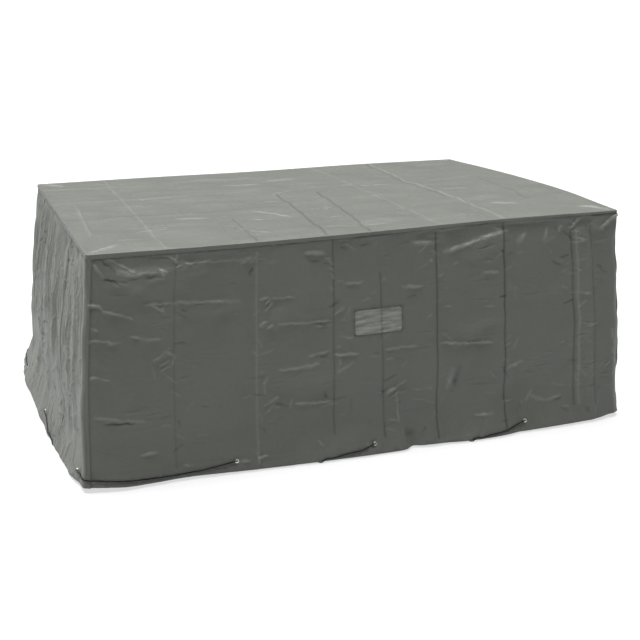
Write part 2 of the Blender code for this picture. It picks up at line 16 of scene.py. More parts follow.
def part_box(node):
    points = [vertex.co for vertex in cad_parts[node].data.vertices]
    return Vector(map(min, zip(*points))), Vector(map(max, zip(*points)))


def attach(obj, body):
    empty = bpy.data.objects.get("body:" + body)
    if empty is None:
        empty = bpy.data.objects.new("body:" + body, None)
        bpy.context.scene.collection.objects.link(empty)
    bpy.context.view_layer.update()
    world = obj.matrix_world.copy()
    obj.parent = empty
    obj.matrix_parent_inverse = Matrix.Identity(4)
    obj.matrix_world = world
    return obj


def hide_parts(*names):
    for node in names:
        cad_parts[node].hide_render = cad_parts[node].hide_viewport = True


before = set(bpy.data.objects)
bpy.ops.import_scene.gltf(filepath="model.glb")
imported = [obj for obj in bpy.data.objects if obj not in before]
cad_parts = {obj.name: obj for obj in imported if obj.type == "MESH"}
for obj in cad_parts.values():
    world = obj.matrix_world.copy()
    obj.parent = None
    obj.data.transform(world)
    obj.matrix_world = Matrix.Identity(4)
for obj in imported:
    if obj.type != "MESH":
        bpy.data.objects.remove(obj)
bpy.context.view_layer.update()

# ---------------------------------------------------------------- sizes

top_low, top_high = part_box("top_panel")
LENGTH = round(top_high.x - top_low.x, 4)  # the frame holds 32-bit numbers
WIDTH = round(top_high.y - top_low.y, 4)
FLOOR = -0.933
HEM_CLEAR = 0.008
DROP = 0.920
CLOTH = 0.0009  # two layers and their coating, as they look where they are turned under
HEM_CLOTH = 0.0020
HEM_DEPTH = 0.060
SEAM_TUCK = 0.0025  # how far a wall lies behind what laps over it
HEM_TUCK = 0.0040
LAP_START = 0.012
LAP_END = 0.024
TUCK_DEPTHS = (0.032, 0.10)
EDGE_ROUND = 0.0035
CORD = 0.0045
PATCH = (-0.090, 0.110)
PATCH_DEPTHS = (0.315, 0.415)
PATCH_CLOTH = 0.0010
PATCH_LIFT = 0.0016
PATCH_ROUND = 0.012

FRONT, RIGHT, BACK, LEFT = range(4)
NAMES = ("front", "right", "back", "left")
DIRECTIONS = np.array([(1, 0), (0, 1), (-1, 0), (0, -1)], float)  # along each side
OUTWARD = np.array([(0, -1), (1, 0), (0, 1), (-1, 0)], float)
HALVES = (LENGTH / 2, WIDTH / 2, LENGTH / 2, WIDTH / 2)
ACROSS = (WIDTH / 2, LENGTH / 2, WIDTH / 2, LENGTH / 2)
STARTS = (0.0, LENGTH, LENGTH + WIDTH, 2 * LENGTH + WIDTH)
ROUND = 2 * (LENGTH + WIDTH)

# Radius of each wall's first corner, mm, at the top's edge and lower down; and how far the top's edge is
# turned down there
CORNERS = ((16, 26, 19), (12, 55, 10), (14, 60, 13), (14, 36, 16))
CORNER_DEPTHS = (0.03, 0.18)

# Height of the top, mm, in rows from front to back, and in each row from left to right
TOP_HEIGHTS = np.array((
    (-9, -10, -3, 9, 9),
    (-7, -6, 0, 12, 25),
    (-6, -3, 2, 11, 25),
    (-6, -2, 3, 10, 17),
    (-8, -4, -3, 5, 5),
), float)

# How the walls hang: side, place along it, and in mm how far they lean out, the hem kicks out past that, and
# the hem's edge is above the lowest
HANG = (
    (FRONT, -1.150, 60, 8, 13), (FRONT, -0.980, 60, 31, 6), (FRONT, -0.760, 54, 23, 5),
    (FRONT, -0.520, 56, 36, 2), (FRONT, -0.230, 60, 45, 0), (FRONT, 0.090, 61, 50, 0),
    (FRONT, 0.200, 60, 38, 3), (FRONT, 0.440, 62, 53, 0), (FRONT, 0.700, 56, 42, 2),
    (FRONT, 0.980, 52, 38, 5), (RIGHT, -0.825, 48, 14, 12), (RIGHT, -0.500, 58, 30, 4),
    (RIGHT, -0.180, 66, 42, 1), (RIGHT, 0.150, 62, 30, 4), (RIGHT, 0.480, 60, 40, 2),
    (BACK, -1.150, 54, 16, 11), (BACK, -0.850, 60, 34, 4), (BACK, -0.480, 62, 44, 1),
    (BACK, -0.150, 56, 30, 5), (BACK, 0.250, 64, 46, 0), (BACK, 0.620, 60, 36, 3), (BACK, 0.900, 64, 46, 2),
    (LEFT, -0.825, 66, 46, 10), (LEFT, -0.640, 80, 64, 4), (LEFT, -0.420, 92, 66, 2),
    (LEFT, -0.150, 90, 58, 3), (LEFT, 0.100, 86, 52, 0), (LEFT, 0.380, 80, 44, 0), (LEFT, 0.650, 68, 34, 4),
)
LEAN_DEPTHS = (0.03, 0.80)
LEAN_BEND = 1.7
KICK_DEPTHS = (0.76, DROP)
KICK_BEND = 1.4
SLOPE_STEP = 0.010

# Wide folds of each side: place and depth of one end and of the other, width and height in mm
FOLDS = {
    FRONT: (
        (-1.090, 0.030, -0.960, 0.120, 26, 10), (-1.050, 0.100, -0.700, 0.080, 24, 7),
        (-0.930, 0.250, -0.560, 0.235, 30, 6), (-0.500, 0.100, -0.505, 0.780, 34, -6),
        (-0.420, 0.300, -0.060, 0.250, 34, 6), (-0.400, 0.560, -0.160, 0.545, 36, 7),
        (-0.240, 0.060, -0.180, 0.860, 40, -6), (0.290, 0.060, 0.300, 0.880, 36, -7),
        (0.420, 0.120, 0.600, 0.050, 34, 11), (0.350, 0.420, 0.560, 0.405, 30, 7),
        (0.440, 0.520, 0.420, 0.700, 36, -7), (0.610, 0.050, 0.625, 0.900, 36, -8),
        (0.960, 0.060, 0.985, 0.860, 40, 8), (1.040, 0.100, 1.060, 0.480, 44, -14),
        (1.100, 0.360, 1.110, 0.700, 26, 8), (0.140, 0.870, 0.150, 0.920, 26, -20),
    ),
    LEFT: (
        (-0.700, 0.060, -0.640, 0.800, 40, 9), (-0.590, 0.050, -0.560, 0.600, 36, -11),
        (-0.450, 0.040, -0.430, 0.500, 38, 11), (-0.330, 0.050, -0.250, 0.720, 36, -9),
        (-0.180, 0.050, -0.120, 0.420, 36, 9), (-0.060, 0.060, 0.020, 0.800, 40, -9),
        (0.100, 0.050, 0.160, 0.560, 38, 11), (0.250, 0.060, 0.230, 0.480, 34, -9),
        (0.260, 0.480, 0.420, 0.800, 42, -9), (0.380, 0.050, 0.360, 0.640, 36, 9),
        (0.500, 0.060, 0.560, 0.780, 38, -9), (0.640, 0.040, 0.680, 0.700, 36, 9),
        (-0.120, 0.420, -0.330, 0.800, 44, 9),
    ),
    RIGHT: (
        (-0.620, 0.050, -0.600, 0.700, 42, -12), (-0.440, 0.050, -0.400, 0.520, 40, 12),
        (-0.180, 0.060, -0.230, 0.800, 46, -14), (0.050, 0.050, 0.060, 0.560, 42, 12),
        (0.300, 0.060, 0.340, 0.780, 46, -12), (0.540, 0.040, 0.520, 0.600, 42, 12),
    ),
    BACK: (
        (-0.960, 0.060, -0.980, 0.800, 44, -9), (-0.640, 0.050, -0.620, 0.760, 44, -8),
        (-0.420, 0.300, -0.120, 0.270, 40, 8), (-0.320, 0.060, -0.310, 0.860, 44, 8),
        (0.010, 0.050, 0.000, 0.860, 44, -8), (0.200, 0.560, 0.480, 0.590, 42, 9),
        (0.330, 0.060, 0.320, 0.800, 44, 8), (0.660, 0.050, 0.650, 0.860, 44, -9),
        (0.980, 0.080, 0.960, 0.700, 44, 9),
    ),
}
FOLD_DEPTHS = (0.03, 0.08)

# Creases from how the cover was folded in its bag, from edge to edge: the same columns, but with real
# distances from the side's middle in place of places along it
PACKING = {
    FRONT: (
        (-0.817, 0.050, -0.856, 0.880, 3.5, -1.0), (-0.492, 0.040, -0.519, 0.900, 4, 1.5),
        (-0.176, 0.020, -0.190, 0.820, 3.5, -1.8), (0.023, 0.170, 0.030, 0.860, 3.5, -1.9),
        (0.277, 0.030, 0.276, 0.900, 3.5, -2.6), (0.588, 0.015, 0.600, 0.900, 3.5, -3.0),
        (0.912, 0.070, 0.952, 0.840, 5, -2.2), (0.935, 0.070, 0.975, 0.840, 5, 2.0),
        (1.010, 0.040, 1.062, 0.850, 4, -1.6),
    ),
    LEFT: (
        (-0.520, 0.030, -0.500, 0.880, 4, 1.8), (-0.210, 0.030, -0.190, 0.880, 3.5, -2.0),
        (0.090, 0.030, 0.110, 0.880, 3.5, 1.8), (0.400, 0.030, 0.410, 0.880, 4, -2.0),
        (0.690, 0.030, 0.700, 0.880, 3.5, 1.6),
    ),
    RIGHT: (
        (-0.590, 0.030, -0.600, 0.890, 3.5, -2.2), (-0.280, 0.030, -0.290, 0.890, 3.5, 1.8),
        (0.020, 0.030, 0.015, 0.890, 3.5, -2.2), (0.325, 0.030, 0.320, 0.890, 3.5, -1.8),
        (0.630, 0.030, 0.640, 0.890, 3.5, 1.8),
    ),
    BACK: (
        (-0.905, 0.030, -0.920, 0.890, 3.5, -2.0), (-0.590, 0.030, -0.600, 0.890, 3.5, 1.6),
        (-0.285, 0.030, -0.290, 0.890, 3.5, -2.4), (0.020, 0.030, 0.015, 0.890, 3.5, -1.8),
        (0.325, 0.030, 0.330, 0.890, 3.5, 1.6), (0.640, 0.030, 0.650, 0.890, 3.5, -2.2),
        (0.950, 0.030, 0.965, 0.890, 3.5, -1.6),
    ),
}
PACKING_LEVELS = (0.075, 0.215, 0.335, 0.490, 0.665, 0.820)  # depths of the creases that run along

# Short ridges (+) and troughs (-) with tapered ends: the same columns as the packing creases
WRINKLES = {
    FRONT: (
        # drawn from the front's upper left corner
        (-1.146, 0.012, -1.088, 0.092, 5, 1.8), (-1.078, 0.014, -0.970, 0.084, 5, 1.4),
        (-1.110, 0.010, -1.040, 0.080, 6, -1.1), (-1.092, 0.096, -1.040, 0.108, 4.5, -1.8),
        (-1.044, 0.107, -0.876, 0.096, 4.5, -1), (-0.966, 0.086, -0.842, 0.089, 3.5, 1),
        (-0.878, 0.076, -0.862, 0.100, 4.5, 1.8), (-0.890, 0.070, -0.850, 0.090, 3.5, 1.4),
        (-0.838, 0.026, -0.800, 0.062, 4.5, 2.1), (-0.812, 0.072, -0.786, 0.063, 3.5, 1.7),
        (-0.790, 0.064, -0.640, 0.062, 3.5, 1.3), (-0.660, 0.063, -0.515, 0.066, 4.5, 0.9),
        (-1.056, 0.108, -1.034, 0.131, 3.5, 1.4), (-1.040, 0.112, -1.000, 0.122, 3.5, 1),
        # the level creases of the left third
        (-0.948, 0.206, -0.845, 0.209, 3.5, 1.8), (-0.855, 0.208, -0.560, 0.226, 4.5, 1.5),
        (-0.914, 0.208, -0.868, 0.246, 4.5, 2.0), (-1.160, 0.192, -1.112, 0.198, 3.5, 2.6),
        (-1.118, 0.196, -1.096, 0.225, 3.5, 2.6), (-1.102, 0.222, -1.030, 0.239, 3.5, 2.6),
        (-1.036, 0.237, -0.990, 0.257, 3.5, 2.0), (-1.150, 0.276, -1.124, 0.294, 3.5, 1.8),
        (-1.010, 0.322, -0.955, 0.337, 3.5, 1.9), (-0.962, 0.335, -0.893, 0.347, 3.5, 1.8),
        (-1.170, 0.331, -1.116, 0.327, 3.5, 1.9), (-1.122, 0.327, -1.080, 0.344, 3.5, 2.1),
        (-1.088, 0.342, -1.036, 0.343, 3.5, 2.1), (-1.170, 0.471, -1.134, 0.476, 3.5, 2.2),
        (-1.142, 0.475, -1.088, 0.490, 3.5, 2.0), (-1.162, 0.630, -1.050, 0.652, 4.5, 1.9),
        (-1.060, 0.651, -0.965, 0.668, 4.5, 1.4), (-1.128, 0.661, -1.004, 0.673, 3.5, -1.4),
        (-1.000, 0.806, -0.922, 0.801, 4.5, 2.0), (-0.828, 0.871, -0.780, 0.876, 4.5, 1.6),
        (-0.926, 0.432, -0.880, 0.396, 4.5, 1.6), (-0.884, 0.396, -0.838, 0.410, 4.5, 1.4),
        (-0.840, 0.410, -0.852, 0.458, 4.5, 1.4), (-0.856, 0.456, -0.902, 0.473, 3.5, 1.8),
        (-0.900, 0.452, -0.858, 0.430, 3.5, 1.7),
        # round the crease at -0.5
        (-0.492, 0.230, -0.450, 0.223, 3.5, 2.2), (-0.456, 0.224, -0.340, 0.233, 3.5, 1.6),
        (-0.472, 0.250, -0.446, 0.228, 3.5, 2.2), (-0.470, 0.278, -0.438, 0.242, 4.5, 2.0),
        (-0.496, 0.338, -0.466, 0.322, 3.5, 2.2), (-0.468, 0.347, -0.438, 0.332, 3.5, 2.2),
        (-0.426, 0.331, -0.290, 0.337, 4.5, 1.6), (-0.300, 0.337, -0.196, 0.341, 3.5, 2.2),
        (-0.430, 0.522, -0.330, 0.521, 4.5, 1.8), (-0.340, 0.521, -0.248, 0.512, 4.5, 1.8),
        (-0.298, 0.476, -0.195, 0.466, 4.5, 1.8), (-0.470, 0.540, -0.484, 0.584, 4.5, 1.9),
        (-0.482, 0.580, -0.478, 0.624, 4.5, 1.6), (-0.492, 0.667, -0.422, 0.633, 4.5, 2.2),
        (-0.470, 0.690, -0.440, 0.650, 3.5, 1.6), (-0.362, 0.669, -0.270, 0.676, 5, 2.4),
        (-0.282, 0.676, -0.186, 0.678, 4.5, 2.4), (-0.365, 0.640, -0.382, 0.690, 4.5, 1.4),
        (-0.528, 0.881, -0.480, 0.873, 4.5, 2.2), (-0.602, 0.882, -0.556, 0.884, 3.5, 2.0),
        (-0.298, 0.059, -0.208, 0.067, 6.5, 2.8), (-0.560, 0.080, -0.506, 0.050, 4.5, 1.6),
        # between -0.2 and the patch
        (-0.201, 0.095, -0.178, 0.120, 3.5, 1.6), (-0.198, 0.120, -0.176, 0.146, 3.5, 1.5),
        (-0.194, 0.146, -0.172, 0.174, 3.5, 1.6), (-0.134, 0.197, -0.052, 0.203, 4.5, 1.5),
        (-0.184, 0.320, -0.137, 0.292, 3.5, 2.0), (-0.170, 0.300, -0.130, 0.285, 3.5, 1.4),
        (-0.190, 0.485, -0.076, 0.491, 3.5, 2.6), (-0.180, 0.560, -0.100, 0.520, 5, 1.3),
        # right of the patch
        (0.034, 0.490, 0.104, 0.489, 3.5, 1.8), (0.100, 0.484, 0.184, 0.492, 3.5, 1.9),
        (0.038, 0.678, 0.088, 0.654, 4.5, 2.2), (0.084, 0.656, 0.134, 0.629, 4.5, 1.9),
        (0.060, 0.700, 0.100, 0.668, 3.5, 1.6), (0.086, 0.686, 0.094, 0.750, 4.5, 2.0),
        (0.092, 0.744, 0.098, 0.810, 4.5, 1.8), (0.160, 0.061, 0.272, 0.071, 8, 1.8),
        (0.112, 0.234, 0.214, 0.243, 5, 2.0), (0.480, 0.210, 0.562, 0.219, 5, 2.0),
        (0.614, 0.046, 0.460, 0.080, 8, 1.8), (0.470, 0.078, 0.304, 0.116, 7, 2.4),
        (0.286, 0.492, 0.420, 0.503, 3.5, 3.0), (0.400, 0.502, 0.535, 0.513, 3.5, 2.8),
        (0.384, 0.592, 0.345, 0.712, 9, -1.2), (0.350, 0.600, 0.320, 0.700, 7, 1.6),
        (0.606, 0.638, 0.684, 0.613, 6, 2.0), (0.445, 0.824, 0.540, 0.827, 5, 2.0),
        (0.962, 0.018, 0.906, 0.064, 5, 3.0), (0.872, 0.040, 0.850, 0.075, 5, 1.8),
        (0.650, 0.110, 0.700, 0.060, 8.5, 1.8), (0.800, 0.050, 0.780, 0.110, 7, 1.6),
        (0.992, 0.490, 1.066, 0.488, 3.5, 2.0), (0.960, 0.340, 1.030, 0.350, 4.5, 1.2),
        (0.722, 0.772, 0.800, 0.807, 6.5, 1.8), (0.796, 0.808, 0.884, 0.792, 6.5, 1.6),
        (0.740, 0.740, 0.700, 0.800, 6, 1.4), (0.960, 0.670, 1.010, 0.720, 4.5, 1.5),
        (1.164, 0.008, 1.108, 0.040, 6.5, 4.2), (1.116, 0.036, 1.058, 0.074, 6, 3.0),
        (1.132, 0.520, 1.150, 0.630, 4.5, 3.0), (1.142, 0.600, 1.152, 0.740, 4.5, 3.0),
        (1.105, 0.700, 1.135, 0.670, 3.5, 2.4), (1.085, 0.690, 1.100, 0.675, 3.5, 2.0),
    ),
    LEFT: (
        # left: diamonds where the pleats run into each other, and the folds over the hem's bulge
        (-0.380, 0.560, -0.240, 0.700, 7, 1.8), (-0.240, 0.700, -0.080, 0.560, 7, 1.8),
        (-0.060, 0.420, 0.060, 0.560, 6.5, 1.6), (0.060, 0.560, 0.190, 0.430, 6.5, 1.6),
        (0.120, 0.700, 0.250, 0.600, 6.5, 1.5), (0.250, 0.600, 0.400, 0.720, 6.5, 1.5),
        (0.420, 0.420, 0.540, 0.560, 6.5, 1.5), (0.540, 0.560, 0.700, 0.440, 6.5, 1.4),
        (-0.640, 0.320, -0.500, 0.450, 7, 1.5), (-0.500, 0.450, -0.380, 0.330, 7, 1.4),
        (0.560, 0.740, 0.700, 0.620, 6, 1.4), (0.700, 0.200, 0.790, 0.120, 6, 1.4),
        (0.720, 0.480, 0.800, 0.500, 4.5, 1.4), (0.740, 0.330, 0.805, 0.345, 4.5, 1.2),
        (0.745, 0.660, 0.800, 0.640, 4.5, 1.2), (-0.760, 0.110, -0.640, 0.030, 6.5, 1.4),
        (-0.040, 0.180, 0.020, 0.400, 6, 1.4), (-0.600, 0.120, -0.560, 0.350, 6.5, 1.4),
        (0.300, 0.100, 0.330, 0.340, 6, 1.3), (-0.180, 0.760, -0.020, 0.790, 8.5, 1.6),
        (-0.500, 0.780, -0.340, 0.750, 8.5, 1.6), (0.280, 0.790, 0.440, 0.770, 8, 1.4),
    ),
    RIGHT: (
        # right and back, in the same pattern
        (-0.790, 0.016, -0.700, 0.090, 6.5, 3.8), (-0.560, 0.210, -0.420, 0.218, 4.5, 2.0),
        (-0.270, 0.330, -0.120, 0.340, 4.5, 2.2), (0.030, 0.490, 0.180, 0.484, 3.5, 2.4),
        (-0.010, 0.210, -0.130, 0.196, 4.5, 2.0), (0.340, 0.664, 0.500, 0.672, 4.5, 2.2),
        (-0.600, 0.660, -0.480, 0.640, 5, 2.0), (0.640, 0.336, 0.740, 0.320, 4.5, 2.2),
        (0.700, 0.080, 0.790, 0.016, 6.5, 3.6), (-0.330, 0.820, -0.230, 0.812, 5, 2.0),
        (0.130, 0.075, 0.280, 0.066, 6, 2.4), (-0.560, 0.492, -0.450, 0.484, 4.5, 1.8),
    ),
    BACK: (
        (-1.130, 0.014, -1.050, 0.088, 6.5, 3.8), (-1.060, 0.210, -0.900, 0.222, 4.5, 2.0),
        (-0.880, 0.330, -0.720, 0.340, 4.5, 2.0), (-0.580, 0.488, -0.420, 0.496, 3.5, 2.6),
        (-0.560, 0.210, -0.440, 0.200, 4.5, 1.8), (-0.270, 0.664, -0.110, 0.672, 4.5, 2.4),
        (-0.260, 0.078, -0.120, 0.064, 6.5, 2.6), (0.040, 0.338, 0.180, 0.328, 4.5, 2.2),
        (0.030, 0.492, 0.120, 0.500, 3.5, 1.8), (0.340, 0.214, 0.500, 0.224, 4.5, 2.0),
        (0.350, 0.668, 0.460, 0.656, 4.5, 2.0), (0.660, 0.490, 0.810, 0.484, 3.5, 2.6),
        (0.660, 0.820, 0.780, 0.812, 5, 2.0), (0.960, 0.336, 1.080, 0.344, 4.5, 1.8),
        (1.060, 0.086, 1.140, 0.014, 6.5, 3.8), (-0.900, 0.660, -0.800, 0.640, 4.5, 1.8),
    ),
}

# The top's creases: x and y of one end and of the other, width and height in mm
TOP_PACKING = (
    (-0.120, 0.080, -0.146, -0.331, 4, -2.0), (-0.146, -0.331, -0.195, -0.815, 4, -2.0),
    (0.080, 0.080, 0.039, -0.398, 4, -2.0), (0.039, -0.398, -0.002, -0.815, 4, -2.0),
    (-0.466, -0.380, -0.484, -0.815, 4, -1.4), (0.640, 0.800, 0.593, 0.153, 4, 1.8),
    (0.593, 0.153, 0.617, -0.269, 4, 2.2), (0.617, -0.269, 0.606, -0.815, 4, 2.2),
    (0.622, 0.800, 0.575, 0.153, 4, -1.4), (0.575, 0.153, 0.598, -0.269, 4, -1.6),
    (0.960, 0.100, 0.915, -0.480, 4, -1.4), (-0.820, 0.800, -0.850, -0.815, 4, 1.2),
    (0.300, 0.800, 0.310, -0.815, 5, 1.0), (-1.140, 0.215, -0.180, 0.215, 5.5, 1.2),
    (0.620, 0.160, 1.140, 0.150, 5, 1.0), (-1.140, -0.170, -0.200, -0.190, 6.5, -1.1),
    (-1.140, 0.610, -0.100, 0.600, 6.5, 1.2),
)
TOP_WRINKLES = (
    (-0.415, -0.400, -0.308, -0.438, 5.5, -2.0), (-0.517, -0.518, -0.458, -0.626, 5, -1.8),
    (-0.462, -0.622, -0.397, -0.690, 5, -1.8), (-0.342, -0.260, -0.206, -0.407, 5.5, 1.6),
    (-0.142, 0.085, 0.000, 0.185, 6.5, 1.8), (0.332, 0.170, 0.484, 0.114, 5, -2.4),
    (-0.112, -0.487, 0.022, -0.487, 5, -2.0), (-0.141, -0.588, -0.064, -0.618, 5, -1.6),
    (-1.054, 0.160, -1.070, -0.200, 5.5, 1.4), (-1.068, -0.180, -1.088, -0.530, 5.5, 1.4),
    (-0.160, -0.330, 0.050, -0.310, 5, -1.6), (-0.180, -0.690, 0.000, -0.676, 5.5, 1.4),
    (-0.700, -0.300, -0.560, -0.340, 6.5, 1.6), (-0.900, -0.500, -0.760, -0.470, 6.5, 1.4),
    (-0.300, 0.420, -0.100, 0.400, 6.5, 1.4), (-0.060, 0.470, 0.120, 0.500, 6.5, 1.4),
    (0.640, -0.100, 0.780, -0.150, 5.5, 1.4), (0.700, -0.500, 0.820, -0.560, 5.5, 1.4),
    (-1.136, -0.800, -1.010, -0.700, 8.5, 2.6), (1.136, -0.800, 1.020, -0.700, 8.5, 2.4),
    (1.136, 0.800, 1.030, 0.720, 8.5, 2.4), (-1.136, 0.800, -1.030, 0.700, 8.5, 2.4),
)

# Places of each side's eyelets
EYELETS = ((-0.579, -0.019, 0.662), (-0.600, 0.000, 0.600), (-0.650, 0.000, 0.650), (-0.527, 0.067, 0.727))
EYELET_HEIGHT = 0.042
EYELET_BORE = 0.0042
EYELET_FLANGE = 0.0088
EYELET_BARREL = 0.0050
EYELET_PLATE = 0.0009
EYELET_HOLE = 0.0054
EYELET_FLAT = (0.012, 0.030)  # round an eyelet the cloth is flat this far, and as it hangs past the second

# The cord's way round: side, place along it, height over the hem's edge in mm, and the face that it lies on.
# At an eyelet it goes THROUGH the cloth, and where it slips BELOW the hem it changes face too.
OUTSIDE, INSIDE, THROUGH, BELOW = 1, -1, 0, 2
LACING = (
    (FRONT, -1.070, 25, OUTSIDE), (FRONT, -0.960, 21, OUTSIDE), (FRONT, -0.820, 15, OUTSIDE),
    (FRONT, -0.711, 20, OUTSIDE), (FRONT, -0.579, 42, THROUGH), (FRONT, -0.450, 26, INSIDE),
    (FRONT, -0.320, 14, INSIDE), (FRONT, -0.250, 0, BELOW), (FRONT, -0.150, 15, OUTSIDE),
    (FRONT, -0.077, 24, OUTSIDE), (FRONT, -0.019, 42, THROUGH), (FRONT, 0.073, 28, INSIDE),
    (FRONT, 0.145, 24, INSIDE), (FRONT, 0.215, 20, INSIDE), (FRONT, 0.320, 13, INSIDE),
    (FRONT, 0.400, 0, BELOW), (FRONT, 0.485, 11, OUTSIDE), (FRONT, 0.568, 17, OUTSIDE),
    (FRONT, 0.616, 29, OUTSIDE), (FRONT, 0.662, 42, THROUGH), (FRONT, 0.796, 26, INSIDE),
    (FRONT, 1.060, 20, INSIDE), (RIGHT, -0.720, 26, INSIDE), (RIGHT, -0.600, 42, THROUGH),
    (RIGHT, -0.420, 22, OUTSIDE), (RIGHT, -0.160, 24, OUTSIDE), (RIGHT, 0.000, 42, THROUGH),
    (RIGHT, 0.160, 24, INSIDE), (RIGHT, 0.440, 24, INSIDE), (RIGHT, 0.600, 42, THROUGH),
    (RIGHT, 0.740, 26, OUTSIDE), (BACK, -1.000, 20, OUTSIDE), (BACK, -0.800, 24, OUTSIDE),
    (BACK, -0.650, 42, THROUGH), (BACK, -0.500, 24, INSIDE), (BACK, -0.160, 24, INSIDE),
    (BACK, 0.000, 42, THROUGH), (BACK, 0.140, 22, OUTSIDE), (BACK, 0.260, 13, OUTSIDE),
    (BACK, 0.360, 0, BELOW), (BACK, 0.460, 16, INSIDE), (BACK, 0.650, 42, THROUGH),
    (BACK, 0.800, 24, OUTSIDE), (BACK, 1.000, 20, OUTSIDE), (LEFT, -0.740, 24, OUTSIDE),
    (LEFT, -0.640, 28, OUTSIDE), (LEFT, -0.527, 42, THROUGH), (LEFT, -0.380, 24, INSIDE),
    (LEFT, -0.080, 28, INSIDE), (LEFT, 0.067, 42, THROUGH), (LEFT, 0.160, 26, OUTSIDE),
    (LEFT, 0.250, 14, OUTSIDE), (LEFT, 0.338, 0, BELOW), (LEFT, 0.430, 16, INSIDE),
    (LEFT, 0.600, 26, INSIDE), (LEFT, 0.727, 42, THROUGH), (LEFT, 0.790, 36, OUTSIDE),
)
# The cord's bend beside an eyelet's middle, mm: along the cloth, and out from the cloth's middle
EYELET_BEND = ((0.6, 2.3), (1.6, 4.5), (4.2, 6.2), (11.0, 5.6), (22.0, 4.4))
CORD_GAP = 0.0006
INSIDE_GAP = 0.0050  # inside, the cord hangs clear of the cloth
HEM_TURN = 0.008  # half of the run in which the cord turns under the hem
# Where the cord leaves that turn: how far beside its middle, and how high over the hem's edge
HEM_RISE = (0.026, 0.009)
# How far along the hem the even points keep from each kind of point
BEND_REACH = {THROUGH: 0.028, BELOW: 0.036, OUTSIDE: 0.010, INSIDE: 0.010}
CORD_STEP = 0.024
CORD_RING_STEP = 0.0045
CORD_SIDES = 12

# Cells of the cloth's mesh, along and down each wall and for the top, and how many triangles each keeps on
# its outer face: a sheet is made of even cells, and then thinned where it is flat, so that creases stay sharp
WALL_CELLS = ((0.0040, 0.0032), (0.0062, 0.0052), (0.0066, 0.0054), (0.0042, 0.0036))
WALL_TRIANGLES = (97000, 46000, 56000, 92000)
CREASE_CELLS = (0.0016, 0.0042)  # beside a packing crease, so that it stays sharp
TOP_CELLS = (0.0044, 0.0044)
TOP_TRIANGLES = 94000
CORNER_CELL = 0.0035  # finer round the corners
CORNER_REACH = 0.030
TOP_RIM = 0.016  # the top's last cells, where its corners are round
LAP_FADE = 0.042  # a wall lies in its own plane again this far from its end under a lap


# ---------------------------------------------------------------- the cover's shape

def ease(low, high, value):
    """0 below low, 1 above high, smooth between."""
    t = np.clip((value - low) / (high - low), 0, 1)
    return t * t * (3 - 2 * t)


def share(low, high, value):
    """0 below low, 1 above high, even between."""
    return np.clip((value - low) / (high - low), 0, 1)


def cubic(values, t):
    """The smooth curve through four even values, at t from the second to the third."""
    a, b, c, d = values
    return b + 0.5 * t * (c - a + t * (2 * a - 5 * b + 4 * c - d + t * (3 * (b - c) + d - a)))


HANG_PLACES = np.array([(STARTS[row[0]] + HALVES[row[0]] + row[1]) % ROUND for row in HANG])
HANG_SHAPES = np.array([row[2:] for row in HANG]) / 1000


def hang(distance):
    """The lean, kick and hem height this far round the outline."""
    distance = np.asarray(distance, float) % ROUND
    count = len(HANG)
    last = np.searchsorted(HANG_PLACES, distance, side="right") - 1
    gap = (HANG_PLACES[(last + 1) % count] - HANG_PLACES[last]) % ROUND
    t = ((distance - HANG_PLACES[last]) / gap)[..., None]
    return np.moveaxis(cubic([HANG_SHAPES[(last + step) % count] for step in (-1, 0, 1, 2)], t), -1, 0)


def flare(distance, depth):
    """How far the wall stands out past the top's outline."""
    lean, kick, _ = hang(distance)
    leaning = 1 - (1 - share(*LEAN_DEPTHS, depth)) ** LEAN_BEND
    return lean * leaning + kick * share(*KICK_DEPTHS, depth) ** KICK_BEND


def top_height(x, y):
    """Height of the top's outer face over the origin."""
    rows, columns = TOP_HEIGHTS.shape
    across = (x / LENGTH + 0.5) * (columns - 1)
    back = (y / WIDTH + 0.5) * (rows - 1)
    column = np.clip(np.floor(across), 0, columns - 2).astype(int)
    row = np.clip(np.floor(back), 0, rows - 2).astype(int)

    def through(at_row):
        near = [TOP_HEIGHTS[at_row, np.clip(column + step, 0, columns - 1)] for step in (-1, 0, 1, 2)]
        return cubic(near, across - column)

    return cubic([through(np.clip(row + step, 0, rows - 1)) for step in (-1, 0, 1, 2)], back - row) / 1000


FOLD_REACH = 4.5  # widths of a fold past which it lifts nothing


def lifts(rows, along, depth, sharpness, tapered):
    """How far a table's folds lift the cloth there. A sharper fold has steeper flanks, and a tapered one
    fades out at its ends."""
    along, depth = np.broadcast_arrays(along, depth)
    total = np.zeros(along.shape)
    for from_along, from_depth, to_along, to_depth, width, lift in rows:
        run = (to_along - from_along, to_depth - from_depth)
        reach = FOLD_REACH * width / 1000
        near = np.abs(along - from_along - run[0] / 2) < abs(run[0] / 2) + reach
        near &= np.abs(depth - from_depth - run[1] / 2) < abs(run[1] / 2) + reach
        if not near.any():
            continue
        past, below = along[near] - from_along, depth[near] - from_depth
        t = np.clip((past * run[0] + below * run[1]) / (run[0] ** 2 + run[1] ** 2), 0, 1)
        height = np.exp(-(np.hypot(past - run[0] * t, below - run[1] * t) * 1000 / width) ** sharpness)
        if tapered:
            height = height * (4 * t * (1 - t)) ** 0.5
        total[near] += lift / 1000 * height
    return total


def cut_place(side, across, depth):
    """The place along a side for a real distance from its middle: the walls spread towards the hem."""
    corner = STARTS[side] if across < 0 else STARTS[(side + 1) % 4]
    return float(across / (1 + flare(corner, depth) / HALVES[side]))


def on_cut(table, side):
    """A side's rows of a table whose places are real distances, as places along the side."""
    return [(cut_place(side, row[0], row[1]), row[1], cut_place(side, row[2], row[3]), *row[3:])
            for row in table[side]]


PACKING_ROWS = [on_cut(PACKING, side) for side in range(4)]
WRINKLE_ROWS = [on_cut(WRINKLES, side) for side in range(4)]


